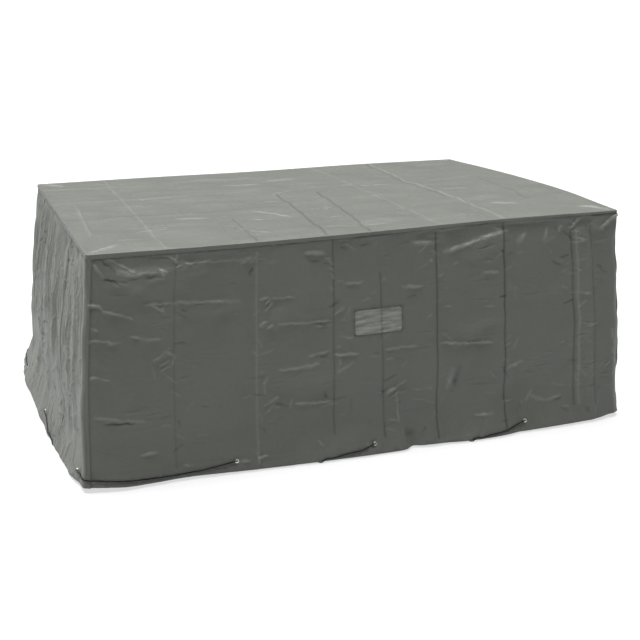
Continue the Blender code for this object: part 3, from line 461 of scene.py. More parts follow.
def crease_place(row, depth):
    """The place along its side of a packing crease at a depth."""
    from_along, from_depth, to_along, to_depth = row[:4]
    return from_along + (to_along - from_along) * (depth - from_depth) / (to_depth - from_depth)


def crossings(side):
    """Where the packing creases of a side cross."""
    return [(crease_place(row, depth), depth) for row in PACKING_ROWS[side] for depth in PACKING_LEVELS]


def small_wrinkles(seed, places, count, size, level, spread=0.050):
    """Small creases scattered round the places where packing creases cross, a `level` share of them level."""
    draw = np.random.default_rng(seed)
    rows = []
    for _ in range(count):
        near = places[draw.integers(len(places))]
        place = np.array(near) + draw.normal(0, spread, 2)
        turn = draw.normal(0, 0.35) if draw.random() < level else draw.uniform(0, math.pi)
        half = draw.uniform(0.010, 0.038) * size
        run = half * np.array((math.cos(turn), math.sin(turn)))
        lift = draw.uniform(0.4, 1.3) * size * (1 if draw.random() < 0.7 else -1)
        rows.append((*(place - run), *(place + run), draw.uniform(3.0, 4.6), lift))
    return rows


def waves(seed, along, depth, height, shortest, longest):
    """Ripples in no one direction, about `height` mm high and from `shortest` to `longest` long. Each use
    has a seed of its own."""
    draw = np.random.default_rng(seed)
    count = 26
    total = 0.0
    for _ in range(count):
        turn = draw.uniform(0, math.pi)
        number = math.tau / draw.uniform(shortest, longest)
        phase = draw.uniform(0, math.tau)
        total = total + np.sin(number * (along * math.cos(turn) + depth * math.sin(turn)) + phase)
    return height / 1000 * total / math.sqrt(count)


# Each side's strength of the hem's puckers, and its number of pleats and their strength
PUCKER_STRENGTHS = (1.5, 1.5, 1.5, 1.7)
PLEAT_SETS = ((26, 0.45), (34, 0.9), (40, 0.6), (74, 1.9))


def hem_puckers(side):
    """Rows of short upright creases that the cord draws into the hem."""
    draw = np.random.default_rng(70 + side)
    half, strong = HALVES[side], PUCKER_STRENGTHS[side]
    rows = []
    place = -half + 0.04
    while place < half - 0.04:
        tall = draw.uniform(0.03, 0.11)
        lean = draw.normal(0, 0.35) * tall
        lift = draw.uniform(0.6, 1.8) * strong * (1 if draw.random() < 0.5 else -1)
        rows.append((place + lean, DROP - tall, place, DROP + 0.02, draw.uniform(6, 10), lift))
        place += draw.uniform(0.022, 0.060)
    return rows


def pleats(side):
    """Rows of fine upright pleats that hang from the top's edge."""
    draw = np.random.default_rng(40 + side)
    count, strong = PLEAT_SETS[side]
    half = HALVES[side]
    rows = []
    for k in range(count):
        place = -half + 0.05 + (2 * half - 0.10) * (k + draw.uniform(-0.3, 0.3)) / (count - 1)
        upper = draw.uniform(0.02, 0.30)
        lower = upper + draw.uniform(0.12, 0.50)
        lean = draw.normal(0, 0.030)
        lift = draw.uniform(0.8, 2.0) * strong * (1 if draw.random() < 0.55 else -1)
        rows.append((place, upper, place + lean, lower, draw.uniform(6, 12), lift))
    return rows


# Each side's small wrinkles: how many, their size, the share that lies near level, and how far they scatter
SMALL_SETS = ((230, 1.0, 0.6, 0.05), (150, 1.1, 0.4, 0.07), (170, 1.0, 0.6, 0.05), (520, 1.1, 0.2, 0.10))
SMALL_WRINKLES = [small_wrinkles(11 + side, crossings(side), *SMALL_SETS[side]) for side in range(4)]
HEM_PUCKERS = [hem_puckers(side) for side in range(4)]
PLEATS = [pleats(side) for side in range(4)]


def wander(seed, along, depth, far, shortest, longest):
    """Places moved this way and that by about `far` mm, so that what is drawn there runs unevenly."""
    along, depth = np.broadcast_arrays(along, depth)
    return (along + waves(seed, along, depth, far, shortest, longest),
            depth + waves(seed + 500, along, depth, far, shortest, longest))


def crinkles(side, along, depth, sharpness):
    """The short wrinkles of a wall, uneven in their run and in their height."""
    bent = wander(140 + side, along, depth, 1.8, 0.018, 0.060)
    height = lifts(WRINKLE_ROWS[side], *bent, sharpness, True)
    height += lifts(SMALL_WRINKLES[side], *bent, sharpness, True)
    return height * (1 + waves(150 + side, along, depth, 260, 0.02, 0.07))


def calm(side, along, depth):
    """0 at an eyelet, where the metal holds the cloth flat, and 1 away from it."""
    quiet = 1.0
    for eyelet_along in EYELETS[side]:
        away = np.hypot(along - eyelet_along, depth - (DROP - EYELET_HEIGHT))
        quiet = quiet * ease(*EYELET_FLAT, away)
    return quiet


PRESSED = 1.2  # the mesh rounds a narrow crease, so packing creases are made this much taller than they show
CRISP = 2.7  # and wrinkles this much


def relief(side, along, depth):
    """How far creases, pleats and ripples lift the wall's cloth out from the shape in which it hangs."""
    height = PRESSED * lifts(PACKING_ROWS[side], along, depth, 1.15, False)
    height += CRISP * crinkles(side, along, depth, 1.5)
    height += lifts(PLEATS[side], *wander(160 + side, along, depth, 5.0, 0.07, 0.25), 1.7, True)
    height += lifts(HEM_PUCKERS[side], *wander(170 + side, along, depth, 2.4, 0.02, 0.08), 1.8, False)
    ripples = waves(20 + side, along, depth, 2.2, 0.08, 0.30)
    height += ripples + waves(30 + side, along * 0.6, depth, 2.4, 0.20, 0.60)
    return height * calm(side, along, depth) * ease(0.004, 0.030, depth)


def wall_place(side, along, depth, out=0.0):
    """Points of a wall's outer face, moved out by `out`, with the last axis for x, y and z."""
    along, depth = np.broadcast_arrays(np.asarray(along, float), np.asarray(depth, float))
    half, half_across = HALVES[side], ACROSS[side]
    first = along < 0
    corner_flare = np.where(first, flare(STARTS[side], depth), flare(STARTS[(side + 1) % 4], depth))
    stretched = along * (1 + corner_flare / half)
    radii = [np.array(CORNERS[corner % 4][:2]) / 1000 for corner in (side, side + 1)]
    bend = ease(*CORNER_DEPTHS, depth)
    radius = np.where(first, radii[0][0] + (radii[0][1] - radii[0][0]) * bend,
                      radii[1][0] + (radii[1][1] - radii[1][0]) * bend)
    turn = math.radians(45) * np.maximum(0, 1 - (half - np.abs(along)) / radius)
    inward = np.where(first, -1.0, 1.0)
    stretched = np.where(turn > 0, inward * (half + corner_flare - radius * (1 - np.sin(turn))), stretched)
    distance = (STARTS[side] + half + along) % ROUND
    own = flare(distance, depth)
    folds = lifts(FOLDS[side], along, depth, 2.0, False) * ease(*FOLD_DEPTHS, depth)
    slope = (own - flare(distance, depth - SLOPE_STEP)) / SLOPE_STEP
    out = out + relief(side, along, depth)
    level = out / np.hypot(1, slope)
    reach = half_across + own + folds - radius * (1 - np.cos(turn)) + level * np.cos(turn)
    stretched = stretched + level * inward * np.sin(turn)
    (along_x, along_y), (out_x, out_y) = DIRECTIONS[side], OUTWARD[side]
    x = along_x * stretched + out_x * reach
    y = along_y * stretched + out_y * reach
    edge = top_height(along_x * along + out_x * half_across, along_y * along + out_y * half_across)
    hem = FLOOR + HEM_CLEAR + hang(distance)[2]
    return np.stack([x, y, edge - (edge - hem) * depth / DROP + level * slope], axis=-1)


def cloth_at(side, along, depth):
    """Points on a wall's outer face, the cloth's directions out, along and down there."""
    step = 0.003
    point = wall_place(side, along, depth)
    across = wall_place(side, along + step, depth)
    across -= wall_place(side, along - step, depth)
    down = wall_place(side, along, depth + step)
    down -= wall_place(side, along, depth - step)
    across /= np.linalg.norm(across, axis=-1, keepdims=True)
    down /= np.linalg.norm(down, axis=-1, keepdims=True)
    out = np.cross(down, across)
    return point, out / np.linalg.norm(out, axis=-1, keepdims=True), across, down


def fill(fixed, step, whole=()):
    """The fixed places in order, with even ones between. A gap beside a place in `whole` isn't split."""
    fixed = sorted(fixed)
    places = []
    for here, following in zip(fixed, fixed[1:]):
        kept = here in whole or following in whole
        count = 1 if kept else max(1, math.ceil((following - here) / step - 0.01))
        places += [here + (following - here) * k / count for k in range(count)]
    return places + [fixed[-1]]


# ---------------------------------------------------------------- small helpers

def deselect():
    bpy.ops.object.select_all(action="DESELECT")


def add_mesh(name, points, faces, uv=None):
    """A mesh object of points and faces, with a place on the cut cloth for each point."""
    mesh = bpy.data.meshes.new(name)
    mesh.from_pydata(np.asarray(points).reshape(-1, 3).tolist(), [], faces)
    if uv is not None:
        layer = mesh.uv_layers.new(name="cut")
        order = np.empty(len(mesh.loops), np.int32)
        mesh.loops.foreach_get("vertex_index", order)
        layer.data.foreach_set("uv", np.asarray(uv, np.float32).reshape(-1, 2)[order].ravel())
    mesh.shade_smooth()
    made = bpy.data.objects.new(name, mesh)
    bpy.context.scene.collection.objects.link(made)
    return made


def keep_values(piece, name, values):
    """Store a value for each point, for the material to read."""
    attribute = piece.data.attributes.new(name, "FLOAT", "POINT")
    attribute.data.foreach_set("value", np.asarray(values, np.float32).ravel())


def choose(piece):
    """Make a piece the one selected, active object."""
    deselect()
    bpy.context.view_layer.objects.active = piece
    piece.select_set(True)


def apply_modifier(piece, modifier):
    choose(piece)
    bpy.ops.object.modifier_apply(modifier=modifier.name)


def thicken(piece, thickness, thin=1.0, group=""):
    """Give a sheet its thickness, on its inner side."""
    solid = piece.modifiers.new("thickness", "SOLIDIFY")
    solid.thickness = thickness
    solid.offset = -1
    solid.use_even_offset = False
    solid.vertex_group = group
    solid.thickness_vertex_group = thin
    apply_modifier(piece, solid)


def thin_out(piece, triangles):
    """Take triangles from the flat stretches of a sheet until about this many are left."""
    now = sum(len(face.vertices) - 2 for face in piece.data.polygons)
    thinner = piece.modifiers.new("thin out", "DECIMATE")
    thinner.ratio = min(1.0, triangles / now)
    apply_modifier(piece, thinner)
    piece.data.shade_smooth()


def grid_faces(rows, columns, holes=()):
    """A face for each cell of a grid of points, facing out where rows go down and columns go to the right."""
    faces = []
    for row in range(rows - 1):
        for column in range(columns - 1):
            first = row * columns + column
            corners = (first, first + columns, first + columns + 1, first + 1)
            if not holes or not any(corner in holes for corner in corners):
                faces.append(corners)
    return faces


def place_piece(piece, material, slot, *nodes):
    """Finish a piece: its material, its body and the CAD nodes that it stands for. `slot` is not used."""
    piece.data.materials.clear()
    piece.data.materials.append(material)
    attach(piece, "root")
    if nodes:
        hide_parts(*nodes)
    return piece


# ---------------------------------------------------------------- materials

def linear(code):
    """An sRGB hex colour as linear red, green, blue and alpha."""
    values = [int(code[k:k + 2], 16) / 255 for k in (1, 3, 5)]
    return (*[v / 12.92 if v <= 0.04045 else ((v + 0.055) / 1.055) ** 2.4 for v in values], 1.0)


def node(tree, kind, links=(), **settings):
    """Add a node, set its properties and inputs, and link it: links are (input, node, output) rows."""
    made = tree.nodes.new(kind)
    for name, value in settings.items():
        if name.startswith("in_"):
            key = name[3:].replace("_", " ")
            made.inputs[int(key) if key.isdigit() else key].default_value = value
        else:
            setattr(made, name, value)
    for socket, source, output in links:
        tree.links.new(source.outputs[output], made.inputs[socket])
    return made


def new_material(name, colour, roughness, **values):
    """A material with its shader's own values set, its node tree and its shader."""
    made = bpy.data.materials.new(name)
    made.use_nodes = True
    tree = made.node_tree
    shader = tree.nodes["Principled BSDF"]
    shader.inputs["Base Color"].default_value = linear(colour)
    shader.inputs["Roughness"].default_value = roughness
    for key, value in values.items():
        shader.inputs[key.replace("_", " ")].default_value = value
    return made, tree, shader


def weave_bump(tree, thread, depth, strength):
    """Warp and weft, from the cut cloth's own places: two sets of ribs a thread apart."""
    places = node(tree, "ShaderNodeUVMap", uv_map="cut")
    ribs = []
    for direction in ("X", "Y"):
        ribs.append(node(tree, "ShaderNodeTexWave", [("Vector", places, "UV")], wave_type="BANDS",
                         bands_direction=direction, wave_profile="SIN", in_Scale=math.tau / thread / 20,
                         in_Distortion=0.6, in_Detail=1.0, in_Detail_Scale=0.4))
    both = node(tree, "ShaderNodeMath", [(0, ribs[0], "Fac"), (1, ribs[1], "Fac")], operation="ADD")
    return node(tree, "ShaderNodeBump", [("Height", both, "Value")], in_Strength=strength, in_Distance=depth)


CLOTH_COLOUR = "#5f615c"


def coated_polyester():
    """Woven polyester with a thin polyurethane coating, dyed grey and calendered: a close flat weave with a
    satin shine, a little uneven in tone, and rubbed dull along its packing creases. Its colour is painted
    pale on ridges, partly rubbed wear and partly painted highlight, and dark in troughs, under the top's edge
    and round the patch, which is painted shade and shadow."""
    made, tree, shader = new_material(
        "woven polyester, polyurethane coated", CLOTH_COLOUR, 0.50,
        IOR=1.50, Specular_IOR_Level=0.38, Sheen_Weight=0.03, Sheen_Roughness=0.45)
    places = node(tree, "ShaderNodeTexCoord")
    slow = node(tree, "ShaderNodeTexNoise", [("Vector", places, "Object")], in_Scale=3.2, in_Detail=3.0,
                in_Roughness=0.55)
    fine = node(tree, "ShaderNodeTexNoise", [("Vector", places, "Object")], in_Scale=60.0, in_Detail=4.0,
                in_Roughness=0.65)
    slow_tone = node(tree, "ShaderNodeMapRange", [("Value", slow, "Fac")], in_From_Min=0.3, in_From_Max=0.7,
                     in_To_Min=0.955, in_To_Max=1.045)
    fine_tone = node(tree, "ShaderNodeMapRange", [("Value", fine, "Fac")], in_From_Min=0.3, in_From_Max=0.7,
                     in_To_Min=0.965, in_To_Max=1.035)
    tone = node(tree, "ShaderNodeMath", [(0, slow_tone, "Result"), (1, fine_tone, "Result")],
                operation="MULTIPLY")
    # Lighter on ridges, partly rubbed wear and partly painted highlight; darker in troughs, under the top's
    # edge and round the patch, which is painted shade and shadow
    rub_and_painted_light = node(tree, "ShaderNodeAttribute", attribute_name="rub_and_painted_light")
    lighter = node(tree, "ShaderNodeMath", [(0, rub_and_painted_light, "Fac"), (2, tone, "Value")],
                   operation="MULTIPLY_ADD", in_1=0.50)
    colour = node(tree, "ShaderNodeVectorMath", [("Scale", lighter, "Value")], operation="SCALE",
                  in_0=linear(CLOTH_COLOUR)[:3])
    tree.links.new(colour.outputs["Vector"], shader.inputs["Base Color"])
    shine = node(tree, "ShaderNodeMapRange", [("Value", fine, "Fac")], in_From_Min=0.25, in_From_Max=0.75,
                 in_To_Min=0.44, in_To_Max=0.58)
    dull = node(tree, "ShaderNodeMath", [(0, rub_and_painted_light, "Fac"), (2, shine, "Result")],
                operation="MULTIPLY_ADD", in_1=0.06)
    tree.links.new(dull.outputs["Value"], shader.inputs["Roughness"])
    # Threads of a 300 denier weave are 0.35 mm apart; drawn 1.4 mm apart, so that they show close to
    weave = weave_bump(tree, 0.0014, 0.00012, 0.35)
    # Level creases up to 110 mm long and 26 mm apart, with finer ones among them, where the cloth was rolled
    # and pressed in its bag, in some places only
    cut = node(tree, "ShaderNodeUVMap", uv_map="cut")
    stretched = node(tree, "ShaderNodeMapping", [("Vector", cut, "UV")], in_Scale=(9.0, 38.0, 1.0))
    level = node(tree, "ShaderNodeTexNoise", [("Vector", stretched, "Vector")],
                 noise_type="RIDGED_MULTIFRACTAL", in_Scale=1.0, in_Detail=3.0, in_Roughness=0.5,
                 in_Distortion=0.5)
    where = node(tree, "ShaderNodeTexNoise", [("Vector", cut, "UV")], in_Scale=5.5, in_Detail=2.0)
    there = node(tree, "ShaderNodeMapRange", [("Value", where, "Fac")], in_From_Min=0.50, in_From_Max=0.68,
                 in_To_Min=0.08, in_To_Max=1.0)
    in_places = node(tree, "ShaderNodeMath", [(0, level, "Fac"), (1, there, "Result")], operation="MULTIPLY")
    pressed = node(tree, "ShaderNodeBump", [("Height", in_places, "Value"), ("Normal", weave, "Normal")],
                   in_Strength=0.90, in_Distance=0.0085)
    # The coating's crumple
    crumple = node(tree, "ShaderNodeTexNoise", [("Vector", places, "Object")], in_Scale=24.0, in_Detail=5.0,
                   in_Roughness=0.6, in_Distortion=0.8)
    creased = node(tree, "ShaderNodeBump", [("Height", crumple, "Fac"), ("Normal", pressed, "Normal")],
                   in_Strength=0.50, in_Distance=0.0070)
    tree.links.new(creased.outputs["Normal"], shader.inputs["Normal"])
    return made


PATCH_COLOUR = "#7b7d77"


def patch_cloth():
    """Uncoated woven polyester, a shade lighter: a plain matt label cloth with a coarser weave."""
    made, tree, shader = new_material(
        "woven polyester, uncoated", PATCH_COLOUR, 0.66,
        IOR=1.50, Specular_IOR_Level=0.30, Sheen_Weight=0.15, Sheen_Roughness=0.5)
    places = node(tree, "ShaderNodeTexCoord")
    mottle = node(tree, "ShaderNodeTexNoise", [("Vector", places, "Object")], in_Scale=70.0, in_Detail=5.0,
                  in_Roughness=0.6)
    tone = node(tree, "ShaderNodeMapRange", [("Value", mottle, "Fac")], in_From_Min=0.3, in_From_Max=0.7,
                in_To_Min=0.92, in_To_Max=1.08)
    # Pressed streaks along the cloth, 110 mm long and 13 mm apart, and the cover's crease across it
    cut = node(tree, "ShaderNodeUVMap", uv_map="cut")
    stretched = node(tree, "ShaderNodeMapping", [("Vector", cut, "UV")], in_Scale=(9.0, 78.0, 1.0))
    streaks = node(tree, "ShaderNodeTexNoise", [("Vector", stretched, "Vector")], in_Scale=1.0, in_Detail=3.0)
    streak_tone = node(tree, "ShaderNodeMapRange", [("Value", streaks, "Fac")],
                       in_From_Min=0.35, in_From_Max=0.65, in_To_Min=0.76, in_To_Max=1.36)
    streaked = node(tree, "ShaderNodeMath", [(0, tone, "Result"), (1, streak_tone, "Result")],
                    operation="MULTIPLY")
    # The cover's crease across it: painted lighter on a ridge and darker in a trough, painted highlight and
    # painted shade
    rub_and_painted_light = node(tree, "ShaderNodeAttribute", attribute_name="rub_and_painted_light")
    creased = node(tree, "ShaderNodeMath", [(0, rub_and_painted_light, "Fac"), (2, streaked, "Value")],
                   operation="MULTIPLY_ADD", in_1=0.45)
    colour = node(tree, "ShaderNodeVectorMath", [("Scale", creased, "Value")], operation="SCALE",
                  in_0=linear(PATCH_COLOUR)[:3])
    tree.links.new(colour.outputs["Vector"], shader.inputs["Base Color"])
    # Threads 0.6 mm apart, drawn 2 mm apart, so that they show close to
    weave = weave_bump(tree, 0.0020, 0.00025, 0.6)
    tree.links.new(weave.outputs["Normal"], shader.inputs["Normal"])
    return made


def nickel_plate():
    """Stamped brass, nickel-plated and tumbled: a soft bright grey metal with fine rubbing marks."""
    made, tree, shader = new_material("stamped brass, nickel plated", "#f0eee6", 0.34, Metallic=1.0)
    places = node(tree, "ShaderNodeTexCoord")
    rubbed = node(tree, "ShaderNodeTexNoise", [("Vector", places, "Object")], in_Scale=900.0, in_Detail=3.0)
    rough = node(tree, "ShaderNodeMapRange", [("Value", rubbed, "Fac")], in_To_Min=0.28, in_To_Max=0.42)
    tree.links.new(rough.outputs["Result"], shader.inputs["Roughness"])
    marks = node(tree, "ShaderNodeBump", [("Height", rubbed, "Fac")], in_Strength=0.12, in_Distance=0.0001)
    tree.links.new(marks.outputs["Normal"], shader.inputs["Normal"])
    return made


CORD_COLOUR = "#232423"


def braided_elastic():
    """Rubber strands in a braided polyester sleeve: dull black, with the braid's crossing ribs."""
    made, tree, shader = new_material(
        "braided polyester over rubber", CORD_COLOUR, 0.80,
        IOR=1.50, Specular_IOR_Level=0.20, Sheen_Weight=0.02, Sheen_Roughness=0.4)
    places = node(tree, "ShaderNodeUVMap", uv_map="cut")
    ribs = []
    # Strands cross every 2.2 mm of the cord's length, turning both ways round it
    for way in (1, -1):
        turned = node(tree, "ShaderNodeMapping", [("Vector", places, "UV")],
                      in_Rotation=(0, 0, way * math.radians(38)))
        ribs.append(node(tree, "ShaderNodeTexWave", [("Vector", turned, "Vector")], wave_type="BANDS",
                         bands_direction="X", wave_profile="SIN", in_Scale=math.tau / 0.0022 / 20))
    braid = node(tree, "ShaderNodeMath", [(0, ribs[0], "Fac"), (1, ribs[1], "Fac")], operation="MAXIMUM")
    bump = node(tree, "ShaderNodeBump", [("Height", braid, "Value")], in_Strength=0.8, in_Distance=0.0004)
    tree.links.new(bump.outputs["Normal"], shader.inputs["Normal"])
    # Darker in the grooves between the strands than on their ribs: painted shade
    tone = node(tree, "ShaderNodeMapRange", [("Value", braid, "Value")], in_To_Min=0.30, in_To_Max=0.80)
    colour = node(tree, "ShaderNodeVectorMath", [("Scale", tone, "Result")], operation="SCALE",
                  in_0=linear(CORD_COLOUR)[:3])
    tree.links.new(colour.outputs["Vector"], shader.inputs["Base Color"])
    return made


def sewing_thread():
    """Twisted polyester thread, a shade darker than the cloth, with the sheen of spun filament."""
    made, tree, shader = new_material("twisted polyester thread", "#3f413c", 0.48,
                                      IOR=1.50, Specular_IOR_Level=0.4, Sheen_Weight=0.1, Sheen_Roughness=0.4)
    places = node(tree, "ShaderNodeTexCoord")
    twist = node(tree, "ShaderNodeTexNoise", [("Vector", places, "Object")], in_Scale=700.0, in_Detail=2.0)
    bump = node(tree, "ShaderNodeBump", [("Height", twist, "Fac")], in_Strength=0.5, in_Distance=0.0002)
    tree.links.new(bump.outputs["Normal"], shader.inputs["Normal"])
    return made


CLOTH_FINISH = coated_polyester()
PATCH_FINISH = patch_cloth()
METAL_FINISH = nickel_plate()
CORD_FINISH = braided_elastic()
THREAD_FINISH = sewing_thread()


# ---------------------------------------------------------------- the walls

def wall_columns(side):
    """Places along a side of its mesh's columns halfway down, past its last corner too."""
    half = HALVES[side]
    fixed = [CORNER_REACH - half, half - CORNER_REACH]
    for along in EYELETS[side]:
        fixed += [along - EYELET_HOLE, along, along + EYELET_HOLE]
    for row in PACKING_ROWS[side]:
        crease = crease_place(row, DROP / 2)
        fixed += [crease] + [crease + way * beside for way in (-1, 1) for beside in CREASE_CELLS]
    middle = fill(fixed, WALL_CELLS[side][0], EYELETS[side])
    first = fill([LAP_START - half, CORNER_REACH - half], CORNER_CELL)
    last = fill([half - CORNER_REACH, half, half + LAP_END], CORNER_CELL)
    return np.array(first[:-1] + middle + last[1:])


def wall_rows(side):
    eyelet = DROP - EYELET_HEIGHT
    fixed = [0.005, DROP - HEM_DEPTH, eyelet - EYELET_HOLE, eyelet, eyelet + EYELET_HOLE, DROP]
    return np.array(fill(fixed, WALL_CELLS[side][1], (eyelet,)))


def lean_columns(side, columns, depth):
    """The columns' places at each depth: along the packing creases, and upright at eyelets and corners."""
    half = HALVES[side]
    upright = [-half, CORNER_REACH - half, half - CORNER_REACH, half]
    for along in EYELETS[side]:
        upright += [along - EYELET_FLAT[0], along + EYELET_FLAT[0]]
    anchors = [(along, None) for along in upright]
    anchors += [(crease_place(row, DROP / 2), row) for row in PACKING_ROWS[side]]
    anchors.sort(key=lambda anchor: anchor[0])
    places = []
    for level in depth[:, 0]:
        there = [along if row is None else crease_place(row, level) for along, row in anchors]
        places.append(np.interp(columns, [along for along, _ in anchors], there))
    return np.array(places)


def turned_down(distance):
    """How far the top's edge is turned down over the walls, this far round the outline."""
    places = np.array([*STARTS, ROUND])
    sizes = np.array([CORNERS[corner % 4][2] for corner in range(5)]) / 1000
    return np.interp(distance, places, sizes)


RUBBING_AND_PAINTED_LIGHT = 380  # how much a crease lightens or darkens the cloth for each metre of its height: ridges go pale, partly rubbed wear and partly painted highlight, and troughs go dark with painted shade
WRINKLE_RUBBING_AND_PAINTED_LIGHT = 560  # and a short wrinkle, which is sharper
SEAM_SHADOW_WIDTH = 0.0035  # painted shadow lies this wide under the top's turned-down edge
SEAM_SHADE = 1.1  # and is this dark
PATCH_SHADOW_WIDTH = 0.0055  # how wide the painted shadow lies round the patch
PATCH_SHADE = 1.4
DARKEST = -1.1


def wall_rub_and_painted_light(side, along, depth):
    """How much lighter (+) or darker (-) a wall's cloth is painted: pale ridges that are partly rubbed wear
    and partly painted highlight, painted shade in troughs, and painted shadow under the top's edge and round
    the patch.
    """
    rub_and_painted_light = lifts(PACKING_ROWS[side], along, depth, 1.3, False) * RUBBING_AND_PAINTED_LIGHT
    rub_and_painted_light += crinkles(side, along, depth, 1.6) * WRINKLE_RUBBING_AND_PAINTED_LIGHT
    # A painted shadow under the top's turned-down edge
    seam = turned_down(STARTS[side] + HALVES[side] + along) + SEAM_SHADOW_WIDTH / 2
    rub_and_painted_light = rub_and_painted_light - SEAM_SHADE * np.exp(-((depth - seam) / SEAM_SHADOW_WIDTH) ** 2)
    if side == FRONT:
        # A painted shadow round the patch's rim
        past_end = np.abs(along - sum(PATCH) / 2) - (PATCH[1] - PATCH[0]) / 2
        past_edge = np.abs(depth - sum(PATCH_DEPTHS) / 2) - (PATCH_DEPTHS[1] - PATCH_DEPTHS[0]) / 2
        rub_and_painted_light = rub_and_painted_light - PATCH_SHADE * np.exp(-(np.maximum(past_end, past_edge) / PATCH_SHADOW_WIDTH) ** 2)
    return np.clip(rub_and_painted_light, DARKEST, 1)


def open_hole(points, side, along, row, column):
    """Move the grid's points round an eyelet's middle to the edge of its hole."""
    middle, _, across, down = cloth_at(side, along, DROP - EYELET_HEIGHT)
    for row_step in (-1, 0, 1):
        for column_step in (-1, 0, 1):
            length = math.hypot(row_step, column_step)
            if length:
                edge = middle + (across * column_step + down * row_step) / length * EYELET_HOLE
                points[row + row_step, column + column_step] = edge


def drop_loose_points(piece):
    """Take away the points that are in no face."""
    loose = bmesh.new()
    loose.from_mesh(piece.data)
    bmesh.ops.delete(loose, geom=[v for v in loose.verts if not v.link_faces], context="VERTS")
    loose.to_mesh(piece.data)
    loose.free()


def make_wall(side):
    half = HALVES[side]
    columns, rows = wall_columns(side), wall_rows(side)
    depth = rows[:, None]
    own = columns <= half
    start = LAP_START - half
    along = lean_columns(side, columns[own], depth)
    under_lap = 1 - ease(start + LAP_END - LAP_START, start + LAP_FADE, along)
    lapping = np.where(depth >= DROP - HEM_DEPTH, HEM_TUCK, SEAM_TUCK)
    under_top = SEAM_TUCK * (1 - ease(*TUCK_DEPTHS, depth))
    points = [wall_place(side, along, depth, -under_top - lapping * under_lap)]
    next_side = (side + 1) % 4
    round_corner = columns[~own] - half - HALVES[next_side]
    points.append(wall_place(next_side, round_corner[None, :], depth, -under_top))
    points = np.concatenate(points, axis=1)

    # Each eyelet's hole: the grid's point at its middle is in no face, and those round it lie on its edge
    middles = set()
    count = len(columns)
    row = int(np.argmin(np.abs(rows - (DROP - EYELET_HEIGHT))))
    for eyelet_along in EYELETS[side]:
        column = int(np.argmin(np.abs(columns - eyelet_along)))
        middles.add(row * count + column)
        open_hole(points, side, eyelet_along, row, column)
    beyond = np.broadcast_to(columns[None, ~own], (len(rows), int((~own).sum())))
    uv = np.stack(np.broadcast_arrays(np.concatenate([along, beyond], axis=1), -depth), axis=-1)
    wall = add_mesh(NAMES[side] + "_cloth", points, grid_faces(len(rows), count, middles), uv)

    # How much the cloth is painted lighter or darker: rubbed wear and painted highlight on ridges, painted
    # shade in troughs, painted shadow under the top's edge and round the patch
    rub_and_painted_light = np.zeros(points.shape[:2])
    rub_and_painted_light[:, own] = wall_rub_and_painted_light(side, along, depth)
    keep_values(wall, "rub_and_painted_light", rub_and_painted_light)
    hem = wall.vertex_groups.new(name="hem")
    doubled = np.nonzero(rows >= DROP - HEM_DEPTH - 1e-6)[0]
    hem.add(list(range(int(doubled[0]) * count, len(rows) * count)), 1.0, "REPLACE")
    drop_loose_points(wall)
    thin_out(wall, WALL_TRIANGLES[side])
    thicken(wall, HEM_CLOTH, CLOTH / HEM_CLOTH, "hem")
    return place_piece(wall, CLOTH_FINISH, "cover_cloth", NAMES[side] + "_wall")


walls = [make_wall(side) for side in range(4)]


# ---------------------------------------------------------------- the top

def rounded(x, y, inset):
    """Places on the top for places on the full oblong: drawn in by `inset`, with the corners round."""
    x = x * (LENGTH / 2 - inset) / (LENGTH / 2)
    y = y * (WIDTH / 2 - inset) / (WIDTH / 2)
    corner = np.where(y < 0, np.where(x < 0, 0, 1), np.where(x < 0, 3, 2))
    radius = np.array([row[0] for row in CORNERS])[corner] / 1000 - inset
    past_x = np.abs(x) - (LENGTH / 2 - inset - radius)
    past_y = np.abs(y) - (WIDTH / 2 - inset - radius)
    in_corner = (past_x > 0) & (past_y > 0)
    far, near = np.maximum(past_x, past_y), np.minimum(past_x, past_y)
    turn = math.radians(45) * np.where(in_corner, near / np.where(far == 0, 1, far), 0)
    wide, narrow = far * np.cos(turn), far * np.sin(turn)
    new_x = np.where(past_x >= past_y, wide, narrow)
    new_y = np.where(past_x >= past_y, narrow, wide)
    x = np.where(in_corner, np.sign(x) * (LENGTH / 2 - inset - radius + new_x), x)
    y = np.where(in_corner, np.sign(y) * (WIDTH / 2 - inset - radius + new_y), y)
    return x, y


def top_relief(x, y):
    """How far the creases and ripples lift the top's cloth."""
    height = PRESSED * lifts(TOP_PACKING, x, y, 1.15, False)
    bent = wander(180, x, y, 3.0, 0.03, 0.09)
    height += CRISP * (lifts(TOP_WRINKLES, *bent, 1.5, True) + lifts(TOP_SMALL, *bent, 1.5, True))
    height += waves(91, x, y, 2.6, 0.12, 0.50) + waves(92, x * 0.25, y, 2.2, 0.09, 0.22)
    edge = np.minimum(LENGTH / 2 - np.abs(x), WIDTH / 2 - np.abs(y))
    return height * ease(0.0, 0.030, edge)


TOP_CROSSINGS = [(x, y) for x in (-0.84, -0.48, -0.15, 0.04, 0.30, 0.60, 0.93)
                 for y in (-0.62, -0.33, -0.05, 0.2, 0.6)]
TOP_SMALL = small_wrinkles(17, TOP_CROSSINGS, 120, 1.0, 0.5)


